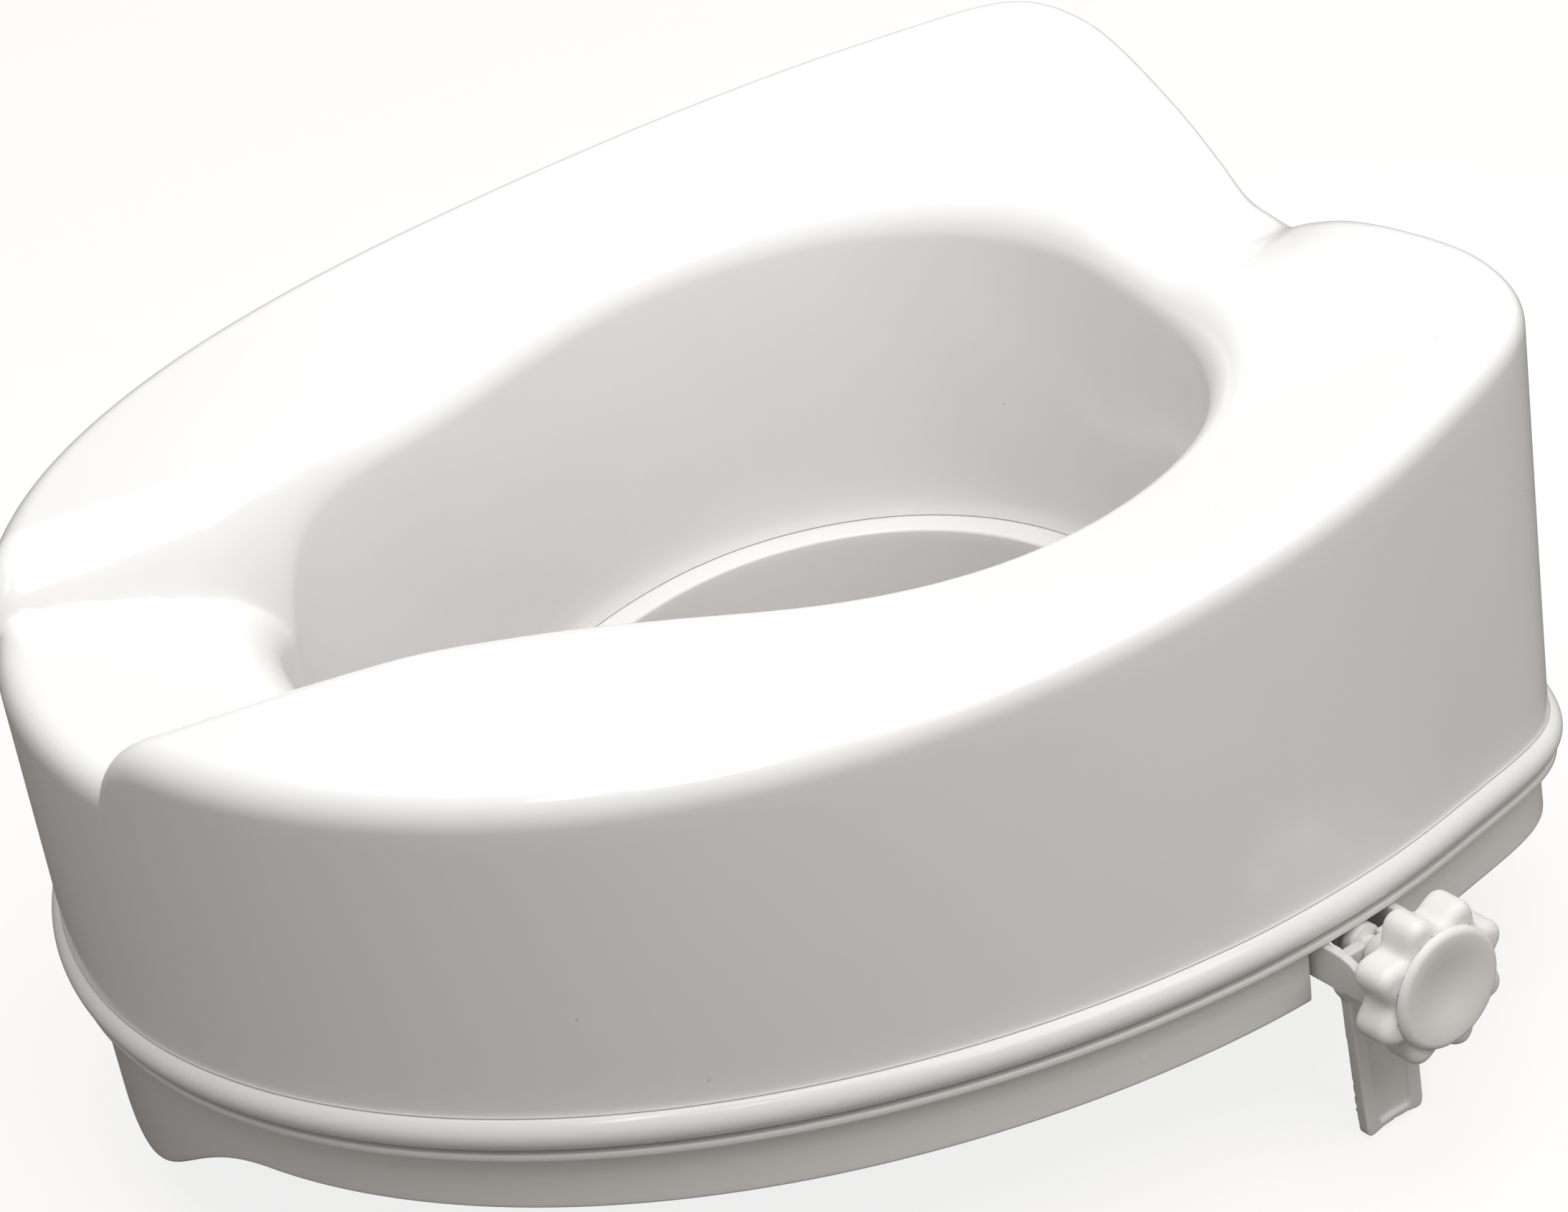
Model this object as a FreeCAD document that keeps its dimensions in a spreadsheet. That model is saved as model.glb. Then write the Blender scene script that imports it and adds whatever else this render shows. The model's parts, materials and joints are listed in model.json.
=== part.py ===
import FreeCAD, Part
import math
import os
import Sketcher

# Raised toilet seat: a hollow seat shell on a base ring, with a screw clamp on
# each side.  Millimetres.  +Z is up, +X the user's left, -Y the front.
# Everything is drawn about the middle of the opening, with z = 0 in the plane
# the anti-slip pads rest on.  The finished pieces are then moved, so that the
# origin lies midway between front and rear, level with the foot of the legs.
# Plan angles run from the rear centre (0) round to the front centre (180 deg).

V = FreeCAD.Vector
doc = FreeCAD.newDocument("raised_toilet_seat")
sheet = doc.addObject("Spreadsheet::Sheet", "Params")
SIZES = [
    # seat shell
    ("half_width", 182.0), ("front_reach", 247.5), ("rear_reach", 137.5),
    ("shell_wall", 3.2), ("shell_bottom", 21.2),
    ("bead_centre", 26.5), ("bead_radius", 5.0), ("wall_inset_low", 3.4),
    ("rim_radius", 10.0), ("opening_radius", 13.0),
    ("rim_height", 134.9), ("edge_height", 122.3),
    ("front_recess_half", 68.0), ("front_recess_step", 19.0),
    ("rear_recess_depth", 27.5),
    # base ring
    ("plate_top", 20.7), ("plate_thick", 2.0), ("plate_inset", 2.0),
    ("skirt_inset", 7.0), ("skirt_thick", 3.0), ("skirt_bottom", 0.3),
    ("ledge_width", 5.5), ("collar_thick", 2.6), ("collar_bottom", -24.0),
    ("lobe_drop", 27.3), ("lobe_half", 72.0), ("notch_half", 14.2),
    # place of the clamps
    ("clamp_x", 168.5), ("clamp_y", 41.5), ("clamp_turn", 12.4), ("axis_height", 13.0),
    # bracket
    ("arm_half", 12.7), ("arm_wall", 2.5), ("arm_inner", 44.0),
    ("arm_outer", 19.5), ("arm_low", 6.5), ("arm_high", 18.2),
    ("web_inner", 6.5), ("web_thick", 3.6), ("web_top", 16.2),
    ("leg_low", -41.0), ("leg_half_top", 10.8), ("leg_half_low", 9.7),
    ("leg_channel", 1.2), ("leg_border", 4.2),
    # grip pad on the leg
    ("grip_thick", 3.0), ("grip_half", 7.5), ("grip_low", -38.0),
    ("grip_high", -2.0), ("grip_peg_radius", 1.8), ("grip_groove", 1.2),
    # hand wheel and cap
    ("wheel_back", 22.6), ("wheel_thick", 11.9), ("wheel_radius", 19.6),
    ("wheel_wave", 2.5), ("wheel_phase", 16.5), ("wheel_round", 2.6),
    ("hub_radius", 5.2), ("hub_back", 16.6),
    ("cap_radius", 16.7), ("cap_seat_radius", 14.8), ("cap_seat_depth", 2.0),
    ("cap_rise", 2.2),
    # adjuster screw
    ("screw_radius", 4.0), ("screw_core", 3.3), ("neck_radius", 3.0),
    ("disc_radius", 5.4), ("stem_radius", 3.4), ("stem_end", 29.0), ("fit_gap", 0.05),
    # nut, guide strap and its screws
    ("nut_in", 31.0), ("nut_len", 12.0), ("nut_half", 8.0),
    ("nut_low", 6.0), ("nut_high", 18.5), ("nut_slot_radius", 4.6),
    ("strap_in", 37.0), ("strap_len", 18.0), ("strap_half", 24.0),
    ("strap_low", 3.2), ("strap_thick", 2.8), ("strap_hole_radius", 1.9),
    ("boss_half", 4.2), ("tapper_head", 3.0), ("tapper_shank", 1.5),
    # anti-slip pads
    ("pad_long", 52.0), ("pad_wide", 20.0), ("pad_thick", 4.0),
    ("pad_seat", 1.0), ("pad_groove", 1.6), ("platform_margin", 5.0),
    # final move
    ("origin_y", "=(front_reach - rear_reach) / 2"), ("origin_z", "=-leg_low"),
]
for row, (alias, value) in enumerate(SIZES, start=1):
    sheet.set("A%d" % row, alias)
    sheet.set("B%d" % row, str(value))
    sheet.setAlias("B%d" % row, alias)
doc.recompute()


def size(alias):
    return float(getattr(sheet, alias))


def bound(alias):
    return "<<Params>>." + alias


def fitted(alias):
    """Expression for a size with the fitting gap added."""
    return bound(alias) + " + " + bound("fit_gap")


def doubled(alias):
    return "2 * " + bound(alias)


def set_size(obj, prop, value):
    """Set a property to a number, or bind it to an expression given as text."""
    if isinstance(value, str):
        obj.setExpression(prop, value)
    else:
        setattr(obj, prop, value)


SIDES = (("left", 1), ("right", -1))
finished = []


def finish(obj, label, placement=FreeCAD.Placement()):
    """Label a finished piece and move it to the final origin."""
    obj.Label = label
    to_origin = FreeCAD.Placement(V(0, size("origin_y"), size("origin_z")), FreeCAD.Rotation())
    obj.Placement = to_origin * placement
    finished.append(obj)


# ------------------------------------------------------------ curves in plan
def catmull(a, b, c, d, f):
    """Catmull-Rom value a fraction f of the way from b to c."""
    return 0.5 * (2 * b + (c - a) * f + (2 * a - 5 * b + 4 * c - d) * f * f
                  + (3 * b - a - 3 * c + d) * f * f * f)


def station_value(values, t):
    """Value at station t of a table that is mirrored at both ends."""
    last = len(values) - 1
    i = int(math.floor(t))
    near = [values[last - abs(last - abs(k))] for k in range(i - 1, i + 3)]
    return catmull(*near, t - i)


def clamped_spline(xs, ys):
    """Cubic spline with zero slope at both ends, as a function."""
    n = len(xs)
    step = [xs[i + 1] - xs[i] for i in range(n - 1)]
    gaps = [0.0] + step + [0.0]
    slopes = [0.0] + [(ys[i + 1] - ys[i]) / step[i] for i in range(n - 1)] + [0.0]
    diagonal = [2 * (gaps[i] + gaps[i + 1]) for i in range(n)]
    right = [6 * (slopes[i + 1] - slopes[i]) for i in range(n)]
    for i in range(1, n):
        factor = gaps[i] / diagonal[i - 1]
        diagonal[i] -= factor * gaps[i]
        right[i] -= factor * right[i - 1]
    # second derivatives at the points
    bend = [0.0] * n
    bend[n - 1] = right[n - 1] / diagonal[n - 1]
    for i in range(n - 2, -1, -1):
        bend[i] = (right[i] - gaps[i + 1] * bend[i + 1]) / diagonal[i]

    def spline(x):
        i = 0
        while i < n - 2 and x > xs[i + 1]:
            i += 1
        after = xs[i + 1] - x
        before = x - xs[i]
        return ((bend[i] * after ** 3 + bend[i + 1] * before ** 3) / (6 * step[i])
                + (ys[i] / step[i] - bend[i] * step[i] / 6) * after
                + (ys[i + 1] / step[i] - bend[i + 1] * step[i] / 6) * before)
    return spline


def smooth(t):
    """Smooth step from 0 to 1."""
    t = max(0.0, min(1.0, t))
    return t * t * t * (t * (6 * t - 15) + 10)


def from_rear(angle):
    """Angle from the rear centre, the same on both sides."""
    return abs(math.atan2(math.sin(angle), math.cos(angle)))


# ------------------------------------------------------------------ outlines
# Left halves of the two outlines as (x, y), from the rear centre to the front
# centre, drawn for the design sizes below.
DESIGN_HALF_WIDTH, DESIGN_FRONT, DESIGN_REAR = 182.0, 247.5, 137.5
BEAD_POINTS = [
    (0, 137.5), (30, 137.4), (58, 137.5), (84, 137.8), (104, 137.0),
    (121, 133.8), (138, 128.0), (149, 115.0), (155.8, 99.0), (162.9, 81.4),
    (170.9, 60.0), (176.9, 36.0), (181, 12.0), (182.3, -12.0), (182.0, -36.0),
    (179.3, -62.0), (174.0, -90.0), (165.5, -118.0), (153.6, -146.0), (137.0, -173.5),
    (116.0, -199.0), (90.0, -221.0), (61.0, -237.3), (31.0, -246.6), (0, -249.0)]
OPENING_POINTS = [
    (0, 84.0), (22, 83.4), (43, 80.3), (63, 73.0), (80, 62.0),
    (94, 47.5), (104, 30.0), (110, 10.0), (111.5, -10.0), (108.0, -31.0),
    (100.5, -51.5), (90.5, -70.5), (80.0, -89.0), (70.5, -108.0), (63.0, -127.0),
    (58.0, -143.0), (51.5, -155.5), (40.0, -163.8), (22.0, -167.6), (0, -168.5)]
OUTLINE_STEPS = 720
WIDTH_SCALE = size("half_width") / DESIGN_HALF_WIDTH
FRONT_SCALE = size("front_reach") / DESIGN_FRONT
REAR_SCALE = size("rear_reach") / DESIGN_REAR


def spread(table, width):
    """Gaussian running mean of a closed table; width in degrees."""
    n = len(table)
    step = 360.0 / n
    reach = int(3.2 * width / step) + 1
    weights = [math.exp(-0.5 * (k * step / width) ** 2) for k in range(-reach, reach + 1)]
    total = sum(weights)
    return [sum(weights[k + reach] * table[(i + k) % n] for k in range(-reach, reach + 1)) / total
            for i in range(n)]


def outline_table(points, front_scale, rear_scale, start, towards):
    """Faired radii of an outline at even angles.

    Fairing is lighter beyond the start angle, towards the front (+1) or rear (-1).
    """
    angles, radii = [], []
    for x, y in points:
        x *= WIDTH_SCALE
        y *= front_scale if y < 0 else rear_scale
        angles.append(math.atan2(x, y))
        radii.append(math.hypot(x, y))
    spline = clamped_spline(angles, radii)
    folded = [from_rear(2 * math.pi * i / OUTLINE_STEPS) for i in range(OUTLINE_STEPS)]
    raw = [spline(angle) for angle in folded]
    mixed = []
    for angle, soft, tight in zip(folded, spread(raw, 7.0), spread(raw, 2.2)):
        weight = smooth(towards * (math.degrees(angle) - start) / 35.0)
        mixed.append(soft + (tight - soft) * weight)
    return spread(mixed, 1.5)


BEAD = outline_table(BEAD_POINTS, FRONT_SCALE, REAR_SCALE, start=107.0, towards=-1)
OPENING = outline_table(OPENING_POINTS, 1.0, 1.0, start=105.0, towards=1)


def radius_at(outline, angle):
    n = len(outline)
    t = (angle / (2 * math.pi) * n) % n
    i = int(math.floor(t))
    near = [outline[k % n] for k in range(i - 1, i + 3)]
    return catmull(*near, t - i)


def secant(outline, angle):
    """Radial distance per unit of distance square to the outline."""
    d = 1e-3
    r = radius_at(outline, angle)
    slope = (radius_at(outline, angle + d) - radius_at(outline, angle - d)) / (2 * d)
    return math.sqrt(r * r + slope * slope) / r


# -------------------------------------------------------------- top of shell
# inset of the outer wall from the bead outline at its top, every 15 degrees
# from the rear centre
TOP_INSET = [5.0, 5.5, 4.5, 1.2, -1.0, -0.4, 0.6, 0.8, 0.2, 0.4, 2.0, 4.0, 4.6]
# drop of the top's outer rim at the rear, every 15 mm away from the centre line
REAR_DROP = [27.5, 26.2, 18.8, 12.6, 8.4, 5.5, 3.4, 1.6, 0.5, 0.0]


def top_inset(angle):
    return station_value(TOP_INSET, min(math.degrees(from_rear(angle)) / 15.0, 11.99999))


def rear_drop(x):
    t = abs(x) / WIDTH_SCALE / 15.0
    if t >= len(REAR_DROP) - 1:
        return 0.0
    return station_value(REAR_DROP, t) * size("rear_recess_depth") / REAR_DROP[0]


def front_floor(y):
    """Height of the floor of the front recess."""
    d = max(-10.0, -165.0 - y)
    return 92.0 + 0.44 * d - 0.002 * d * d


def recess_side(t, softness):
    """Side of the front recess: a rounded shoulder, then down to a crease at the floor."""
    if t <= 0:
        return 0.0
    if t < 1:
        depth = (1 - math.sqrt(1 - 0.9216 * t * t)) / 0.72
    else:
        depth = min(3.0, 1 + 4.57 * (t - 1))

    def soft_minimum(v):
        return -softness * math.log(math.exp(-v / softness) + math.exp(-1 / softness))
    zero = soft_minimum(0.0)
    return max(0.0, min(1.0, (soft_minimum(depth) - zero) / (1 - zero)))


def top_height(x, y, across, widen):
    """Height of the top; across is 0 at the opening's wall and 1 at the outer wall."""
    v = max(-250.0, min(137.0, y)) / 200
    rim = size("rim_height") + 23.7 * v + 14.7 * v ** 2
    edge = size("edge_height") + 8.7 * v + 15.3 * v ** 2
    if y > 0:
        drop = rear_drop(x) * smooth(y / 70.0)
        rim -= drop
        edge -= 0.06 * drop
    height = edge + (rim - edge) * across * (1.18 - 0.18 * across)
    if y < -80:
        t = ((size("front_recess_half") + widen - abs(x) / WIDTH_SCALE)
             / size("front_recess_step"))
        weight = recess_side(t, 0.035 + 0.065 * (1.0 - across))
        weight *= smooth((-80.0 - y) / 45.0)
        height += (front_floor(y) - height) * weight
    return height


# ---------------------------------------------------------------- seat shell
OPENING_LEAN = 1.6    # the opening's wall stands this much further in at its foot
RECESS_WIDEN = 2.2    # the front recess is this much wider each side on the inner skin


def straight(start, end, steps, last):
    """Points 1 to last of a line between two (r, z) points, cut into equal steps."""
    return [(start[0] + (end[0] - start[0]) * k / steps,
             start[1] + (end[1] - start[1]) * k / steps) for k in range(1, last + 1)]


def across_top(start, end, top, steps):
    """Points strictly between two radii, laid on the top."""
    radii = [start + (end - start) * k / steps for k in range(1, steps)]
    return [(r, top(r)) for r in radii]


def rounding(wall, reach, radius, top, turns):
    """Quarter round between a wall and the sloping top; a turn is 0 at the wall, 1 on top."""
    points = []
    for turn in turns:
        a = math.pi / 2 * turn
        r = wall + reach * (1 - math.cos(a))
        points.append((r, top(r) - radius * (1 - math.sin(a))))
    return points


def shell_profile(angle):
    """Poles of the shell's closed profile in the half plane at a plan angle."""
    sine, cosine = math.sin(angle), math.cos(angle)
    out_unit, in_unit = secant(BEAD, angle), secant(OPENING, angle)
    bead_edge = radius_at(BEAD, angle)
    bottom, wall = size("shell_bottom"), size("shell_wall")
    bead_z, bead = size("bead_centre"), size("bead_radius")
    rim, lip = size("rim_radius"), size("opening_radius")
    outer_low = bead_edge - size("wall_inset_low") * out_unit
    outer_high = bead_edge - top_inset(angle) * out_unit
    inner_high = radius_at(OPENING, angle)
    inner_low = inner_high - OPENING_LEAN * in_unit

    def skin_top(r, widen=0.0):
        across = (r - inner_high) / (outer_high - inner_high)
        return top_height(r * sine, r * cosine, max(0.0, min(1.0, across)), widen)

    def under_top(r):
        return skin_top(r, RECESS_WIDEN) - wall

    round_out, round_in = outer_high - rim * out_unit, inner_high + lip * in_unit
    # outer skin: bead from its underside round to the wall, then up
    points = []
    bead_r = bead_edge - bead * out_unit
    for degrees in (-90, -62, -34, -8, 18, 44, 66):
        a = math.radians(degrees)
        points.append((bead_r + bead * out_unit * math.cos(a), bead_z + bead * math.sin(a)))
    points.append((outer_low + 0.25 * out_unit, bead_z + bead * 1.03))
    foot = (outer_low, bead_z + bead * 1.45)
    points.append(foot)
    points += straight(foot, (outer_high, skin_top(outer_high) - rim), 6, 5)
    # over the top and down the wall of the opening
    points += rounding(outer_high, -rim * out_unit, rim, skin_top, [k / 6 for k in range(7)])
    points += across_top(round_out, round_in, skin_top, 8)
    points += rounding(inner_high, lip * in_unit, lip, skin_top,
                       [1 - k / 6 for k in range(7)])
    foot = (inner_low, bottom + 0.8)
    points += straight((inner_high, skin_top(inner_high) - lip), foot, 6, 5)
    points += [foot,
               (inner_low + 0.25 * in_unit, bottom + 0.1),
               (inner_low + (wall - 0.25) * in_unit, bottom + 0.1)]
    # inner skin, back up and across
    lip_under, rim_under = lip - wall, rim - wall
    inner_skin, outer_skin = inner_high + wall * in_unit, outer_high - wall * out_unit
    foot = (inner_low + wall * in_unit, bottom + 0.8)
    points.append(foot)
    points += straight(foot, (inner_skin, under_top(inner_skin) - lip_under), 5, 5)
    points += rounding(inner_skin, lip_under * in_unit, lip_under, under_top,
                       [k / 4 for k in range(1, 5)])
    points += across_top(round_in, round_out, under_top, 7)
    points += rounding(outer_skin, -rim_under * out_unit, rim_under, under_top,
                       [1 - k / 4 for k in range(5)])
    points += straight((outer_skin, under_top(outer_skin) - rim_under),
                       (outer_low - wall * out_unit, bottom + 1.0), 6, 5)
    points += [(outer_low - wall * out_unit, bottom + 0.9),
               (outer_low - (wall - 0.3) * out_unit, bottom + 0.2)]
    return [V(r * sine, r * cosine, z) for r, z in points]


def profile_angles():
    """Plan angles of the profiles, closer together round the front."""
    half = []
    angle = 0.0
    while angle < 150.0:
        half.append(angle)
        angle += 3.5 if angle < 140 else 2.4
    start = half[-1] + 1.9
    half += [start + (180.0 - start) * i / 20 for i in range(21)]
    full = half + [360.0 - a for a in reversed(half[1:-1])]
    return [math.radians(a) for a in full]


def closed_solid(poles):
    """Solid inside a cubic B-spline surface that closes on itself both ways."""
    rows, columns = len(poles), len(poles[0])
    surface = Part.BSplineSurface()
    surface.buildFromPolesMultsKnots(
        poles, [1] * (rows + 1), [1] * (columns + 1),
        [float(i) for i in range(rows + 1)], [float(i) for i in range(columns + 1)],
        True, True, 3, 3)
    solid = Part.Solid(Part.Shell([surface.toShape()]))
    if solid.Volume < 0:
        solid.reverse()
    return solid


shell = doc.addObject("Part::Feature", "seat_shell_solid")
shell.Shape = closed_solid([shell_profile(angle) for angle in profile_angles()])
finish(shell, "seat_shell")

# ------------------------------------------------------- base ring: its core
PLATE_UNDER = size("plate_top") - size("plate_thick")
RIB_TOP = PLATE_UNDER + 0.5    # what hangs below the plate runs this far into it


def outline_wire(outline, inset, z):
    points = []
    for i in range(120):
        angle = 2 * math.pi * i / 120
        r = radius_at(outline, angle) - inset * secant(outline, angle)
        points.append(V(r * math.sin(angle), r * math.cos(angle), z))
    curve = Part.BSplineCurve()
    curve.interpolate(Points=points, PeriodicFlag=True)
    return Part.Wire([curve.toShape()])


def ring(outer, inner, bottom, top):
    """Upright ring between two edges, each an (outline, inset) pair."""
    face = Part.Face([outline_wire(*outer, bottom), outline_wire(*inner, bottom)])
    # the inner wire may need turning to count as a hole
    if not face.isValid():
        face.validate()
    return face.extrude(V(0, 0, top - bottom))


def lobe_cutter(bottom):
    """Prism across the front whose lower edge is one cosine wave deep."""
    half, front_y = size("lobe_half"), -300
    edge = []
    for k in range(25):
        x = -half + 2 * half * k / 24.0
        wave = 0.5 + 0.5 * math.cos(math.pi * x / half)
        edge.append(V(x, front_y, bottom + 0.4 - size("lobe_drop") * wave))
    curve = Part.BSplineCurve()
    curve.interpolate(Points=edge)
    lid = Part.makePolygon([edge[-1], V(half, front_y, bottom + 3),
                            V(-half, front_y, bottom + 3), edge[0]])
    return Part.Face(Part.Wire([curve.toShape()] + lid.Edges)).extrude(V(0, 130, 0))


def base_core_shape():
    """Plate with the outer skirt, the collar round the opening and the front lobe."""
    skirt_bottom = size("skirt_bottom")
    collar_outer = size("ledge_width") + OPENING_LEAN
    collar_edge = (OPENING, collar_outer + size("collar_thick"))
    skirt_edges = ((BEAD, size("skirt_inset")),
                   (BEAD, size("skirt_inset") + size("skirt_thick")))
    plate = ring((BEAD, size("plate_inset")), collar_edge, PLATE_UNDER, size("plate_top"))
    skirt = ring(*skirt_edges, skirt_bottom, RIB_TOP)
    collar = ring((OPENING, collar_outer), collar_edge, size("collar_bottom"), RIB_TOP)
    lobe = ring(*skirt_edges, skirt_bottom - 32.0, skirt_bottom + 1.0).common(
        lobe_cutter(skirt_bottom))
    return plate.fuse([skirt, collar, lobe])


core = doc.addObject("Part::Feature", "base_core")
core.Shape = base_core_shape()


# ------------------------------------------- base ring: mounts and cut-outs
# Each clamp has its own frame: +X outward along the screw, +Z up, +Y across.
STRAP_MIDDLE = -size("strap_in") + size("strap_len") / 2
STRAP_TOP = size("strap_low") + size("strap_thick")
STRAP_SCREW_Y = size("strap_half") - size("boss_half") - 1.0


def clamp_place(sign, x=0.0, y=0.0, z=0.0):
    """Placement of a point of a clamp's frame; sign is +1 left, -1 right."""
    turn = math.radians(size("clamp_turn"))
    outward = V(sign * math.cos(turn), math.sin(turn), 0)
    across = V(-outward.y, outward.x, 0)
    point = (V(sign * size("clamp_x"), size("clamp_y"), 0)
             + outward * x + across * y + V(0, 0, z))
    return FreeCAD.Placement(point, FreeCAD.Rotation(V(1, 0, 0), outward))


def block(name, placement, length, width, height):
    box = doc.addObject("Part::Box", name)
    set_size(box, "Length", length)
    set_size(box, "Width", width)
    box.Height = height
    box.Placement = placement
    return box


def clamp_block(name, sign, x_range, y_middle, half_alias, z_range):
    """Box in a clamp's frame, its half width across taken from the sheet."""
    (x_low, x_high), (z_low, z_high) = x_range, z_range
    return block(name, clamp_place(sign, x_low, y_middle - size(half_alias), z_low),
                 x_high - x_low, doubled(half_alias), z_high - z_low)


def cylinder(name, placement, radius, height):
    rod = doc.addObject("Part::Cylinder", name)
    rod.setExpression("Radius", radius)
    rod.Height = height
    rod.Placement = placement
    return rod


def add_clamp_mounts(side, sign, adds, cuts):
    cuts.append(clamp_block("notch_" + side, sign, (-size("skirt_thick") - 9, 12), 0.0,
                            "notch_half", (-2.0, PLATE_UNDER)))
    # nut housing: two cheeks with a slot, open below, for the screw
    nut_start = -size("nut_in")
    nut_end = nut_start + size("nut_len")
    cheeks = ((nut_start - 3.1, nut_start - 0.1), (nut_end + 0.1, nut_end + 3.1))
    for j, cheek in enumerate(cheeks):
        adds.append(clamp_block("nut_wall_%s_%d" % (side, j), sign, cheek, 0.0,
                                "nut_half", (size("nut_low"), RIB_TOP)))
    slot_start, slot_end = nut_start - 4, nut_end + 4
    axis_z = size("axis_height")
    cuts.append(clamp_block("nut_slot_" + side, sign, (slot_start, slot_end), 0.0,
                            "nut_slot_radius", (0.0, axis_z)))
    along_axis = FreeCAD.Placement(V(0, 0, 0), FreeCAD.Rotation(V(0, 1, 0), 90))
    cuts.append(cylinder("nut_slot_round_" + side,
                         clamp_place(sign, slot_start, 0, axis_z) * along_axis,
                         bound("nut_slot_radius"), slot_end - slot_start))
    # bosses for the guide strap, with screw holes
    for j, y in enumerate((-STRAP_SCREW_Y, STRAP_SCREW_Y)):
        adds.append(clamp_block("strap_boss_%s_%d" % (side, j), sign,
                                (STRAP_MIDDLE - 6, STRAP_MIDDLE + 6), y,
                                "boss_half", (STRAP_TOP + 0.02, RIB_TOP)))
        cuts.append(cylinder("strap_hole_%s_%d" % (side, j),
                             clamp_place(sign, STRAP_MIDDLE, y, STRAP_TOP - 0.6),
                             fitted("tapper_shank"), 10.6))


# end, plan angle, radius, turn of the pad's long side (degrees, mm, degrees)
PAD_STATIONS = [("rear", 44.0, 137.0, 42.0), ("front", 138.0, 163.0, 131.0)]


def pad_place(sign, angle, radius, turn):
    a = math.radians(angle)
    return FreeCAD.Placement(V(sign * radius * math.sin(a), radius * math.cos(a), 0),
                             FreeCAD.Rotation(V(0, 0, 1), -sign * turn))


def pad_block(name, place, margin, extra, bottom, height):
    """Box round a pad's outline; extra is the expression for margin, both sides together."""
    corner = V(-(size("pad_long") + margin) / 2, -(size("pad_wide") + margin) / 2, bottom)
    return block(name, place * FreeCAD.Placement(corner, FreeCAD.Rotation()),
                 bound("pad_long") + " + " + extra, bound("pad_wide") + " + " + extra, height)


adds, cuts = [core], []
for side, sign in SIDES:
    add_clamp_mounts(side, sign, adds, cuts)

pads = []
platform_bottom = size("pad_thick") - size("pad_seat")
SEAT_CUT = 5.0    # height of the tool that cuts a pad's seat
for side, sign in SIDES:
    for end, angle, radius, turn in PAD_STATIONS:
        place = pad_place(sign, angle, radius, turn)
        pads.append((side, end, place))
        adds.append(pad_block("pad_platform_%s_%s" % (side, end), place,
                              size("platform_margin"), bound("platform_margin"),
                              platform_bottom, RIB_TOP - platform_bottom))
        cuts.append(pad_block("pad_seat_%s_%s" % (side, end), place,
                              2 * size("fit_gap"), doubled("fit_gap"),
                              size("pad_thick") - SEAT_CUT + 0.02, SEAT_CUT))

joined = doc.addObject("Part::MultiFuse", "base_joined")
joined.Shapes = adds
tools = doc.addObject("Part::MultiFuse", "base_tools")
tools.Shapes = cuts
base = doc.addObject("Part::Cut", "base_ring_cut")
base.Base, base.Tool = joined, tools
finish(base, "base_ring")


# -------------------------------------------------------------- body helpers
def new_body(name):
    return doc.addObject("PartDesign::Body", name)


def sketch(body, name, role, lift=0.0, up=0.0):
    """Sketch on a base plane, lifted along its normal and moved up along its own Y."""
    sk = body.newObject("Sketcher::SketchObject", name)
    plane = next(f for f in body.Origin.OriginFeatures if f.Role == role)
    sk.AttachmentSupport = (plane, [""])
    sk.MapMode = "FlatFace"
    sk.AttachmentOffset = FreeCAD.Placement(V(0, up, lift), FreeCAD.Rotation())
    return sk


def axis_sketch(body, name, x):
    """Sketch square to the screw axis and centred on it, at a distance out."""
    return sketch(body, name, "YZ_Plane", lift=x, up=size("axis_height"))


def polygon(sk, points):
    ids = []
    for a, b in zip(points, points[1:] + points[:1]):
        ids.append(sk.addGeometry(Part.LineSegment(V(a[0], a[1], 0), V(b[0], b[1], 0)), False))
    for this, following in zip(ids, ids[1:] + ids[:1]):
        sk.addConstraint(Sketcher.Constraint("Coincident", this, 2, following, 1))


def rectangle(sk, x0, y0, x1, y1):
    polygon(sk, [(x0, y0), (x1, y0), (x1, y1), (x0, y1)])


def eased_rectangle(sk, x0, y0, x1, y1, cut, mid):
    """Rectangle with each corner eased in two flats."""
    polygon(sk, [(x0 + cut, y0), (x1 - cut, y0), (x1 - mid, y0 + mid), (x1, y0 + cut),
                 (x1, y1 - cut), (x1 - mid, y1 - mid), (x1 - cut, y1), (x0 + cut, y1),
                 (x0 + mid, y1 - mid), (x0, y1 - cut), (x0, y0 + cut), (x0 + mid, y0 + mid)])


def circle(sk, x, y, alias, fit=False):
    """Circle whose radius comes from the sheet, with the fitting gap if asked."""
    radius = size(alias) + (size("fit_gap") if fit else 0.0)
    ring_id = sk.addGeometry(Part.Circle(V(x, y, 0), V(0, 0, 1), radius), False)
    constraint = sk.addConstraint(Sketcher.Constraint("Radius", ring_id, radius))
    sk.setExpression("Constraints[%d]" % constraint, fitted(alias) if fit else bound(alias))


def pad(body, sk, length, name, mid=False):
    feature = body.newObject("PartDesign::Pad", name)
    feature.Profile = sk
    set_size(feature, "Length", length)
    if mid:
        feature.Midplane = True
    doc.recompute()
    return feature


def pocket(body, sk, length, name, rev=False, through=False):
    before = body.Tip.Shape.Volume
    feature = body.newObject("PartDesign::Pocket", name)
    feature.Profile = sk
    set_size(feature, "Length", length)
    if through:
        feature.Type = 1
        feature.Midplane = True
    if rev:
        feature.Reversed = True
    doc.recompute()
    # a blind pocket that missed the solid is turned the other way
    if abs(feature.Shape.Volume - before) < 1e-6 and not through:
        feature.Reversed = not feature.Reversed
        doc.recompute()
    assert feature.Shape.Volume < before - 1e-6, name
    return feature


def revolve(body, sk, points, axis, name):
    polygon(sk, points)
    feature = body.newObject("PartDesign::Revolution", name)
    feature.Profile = sk
    feature.ReferenceAxis = (sk, [axis])
    feature.Angle = 360
    doc.recompute()


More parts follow.
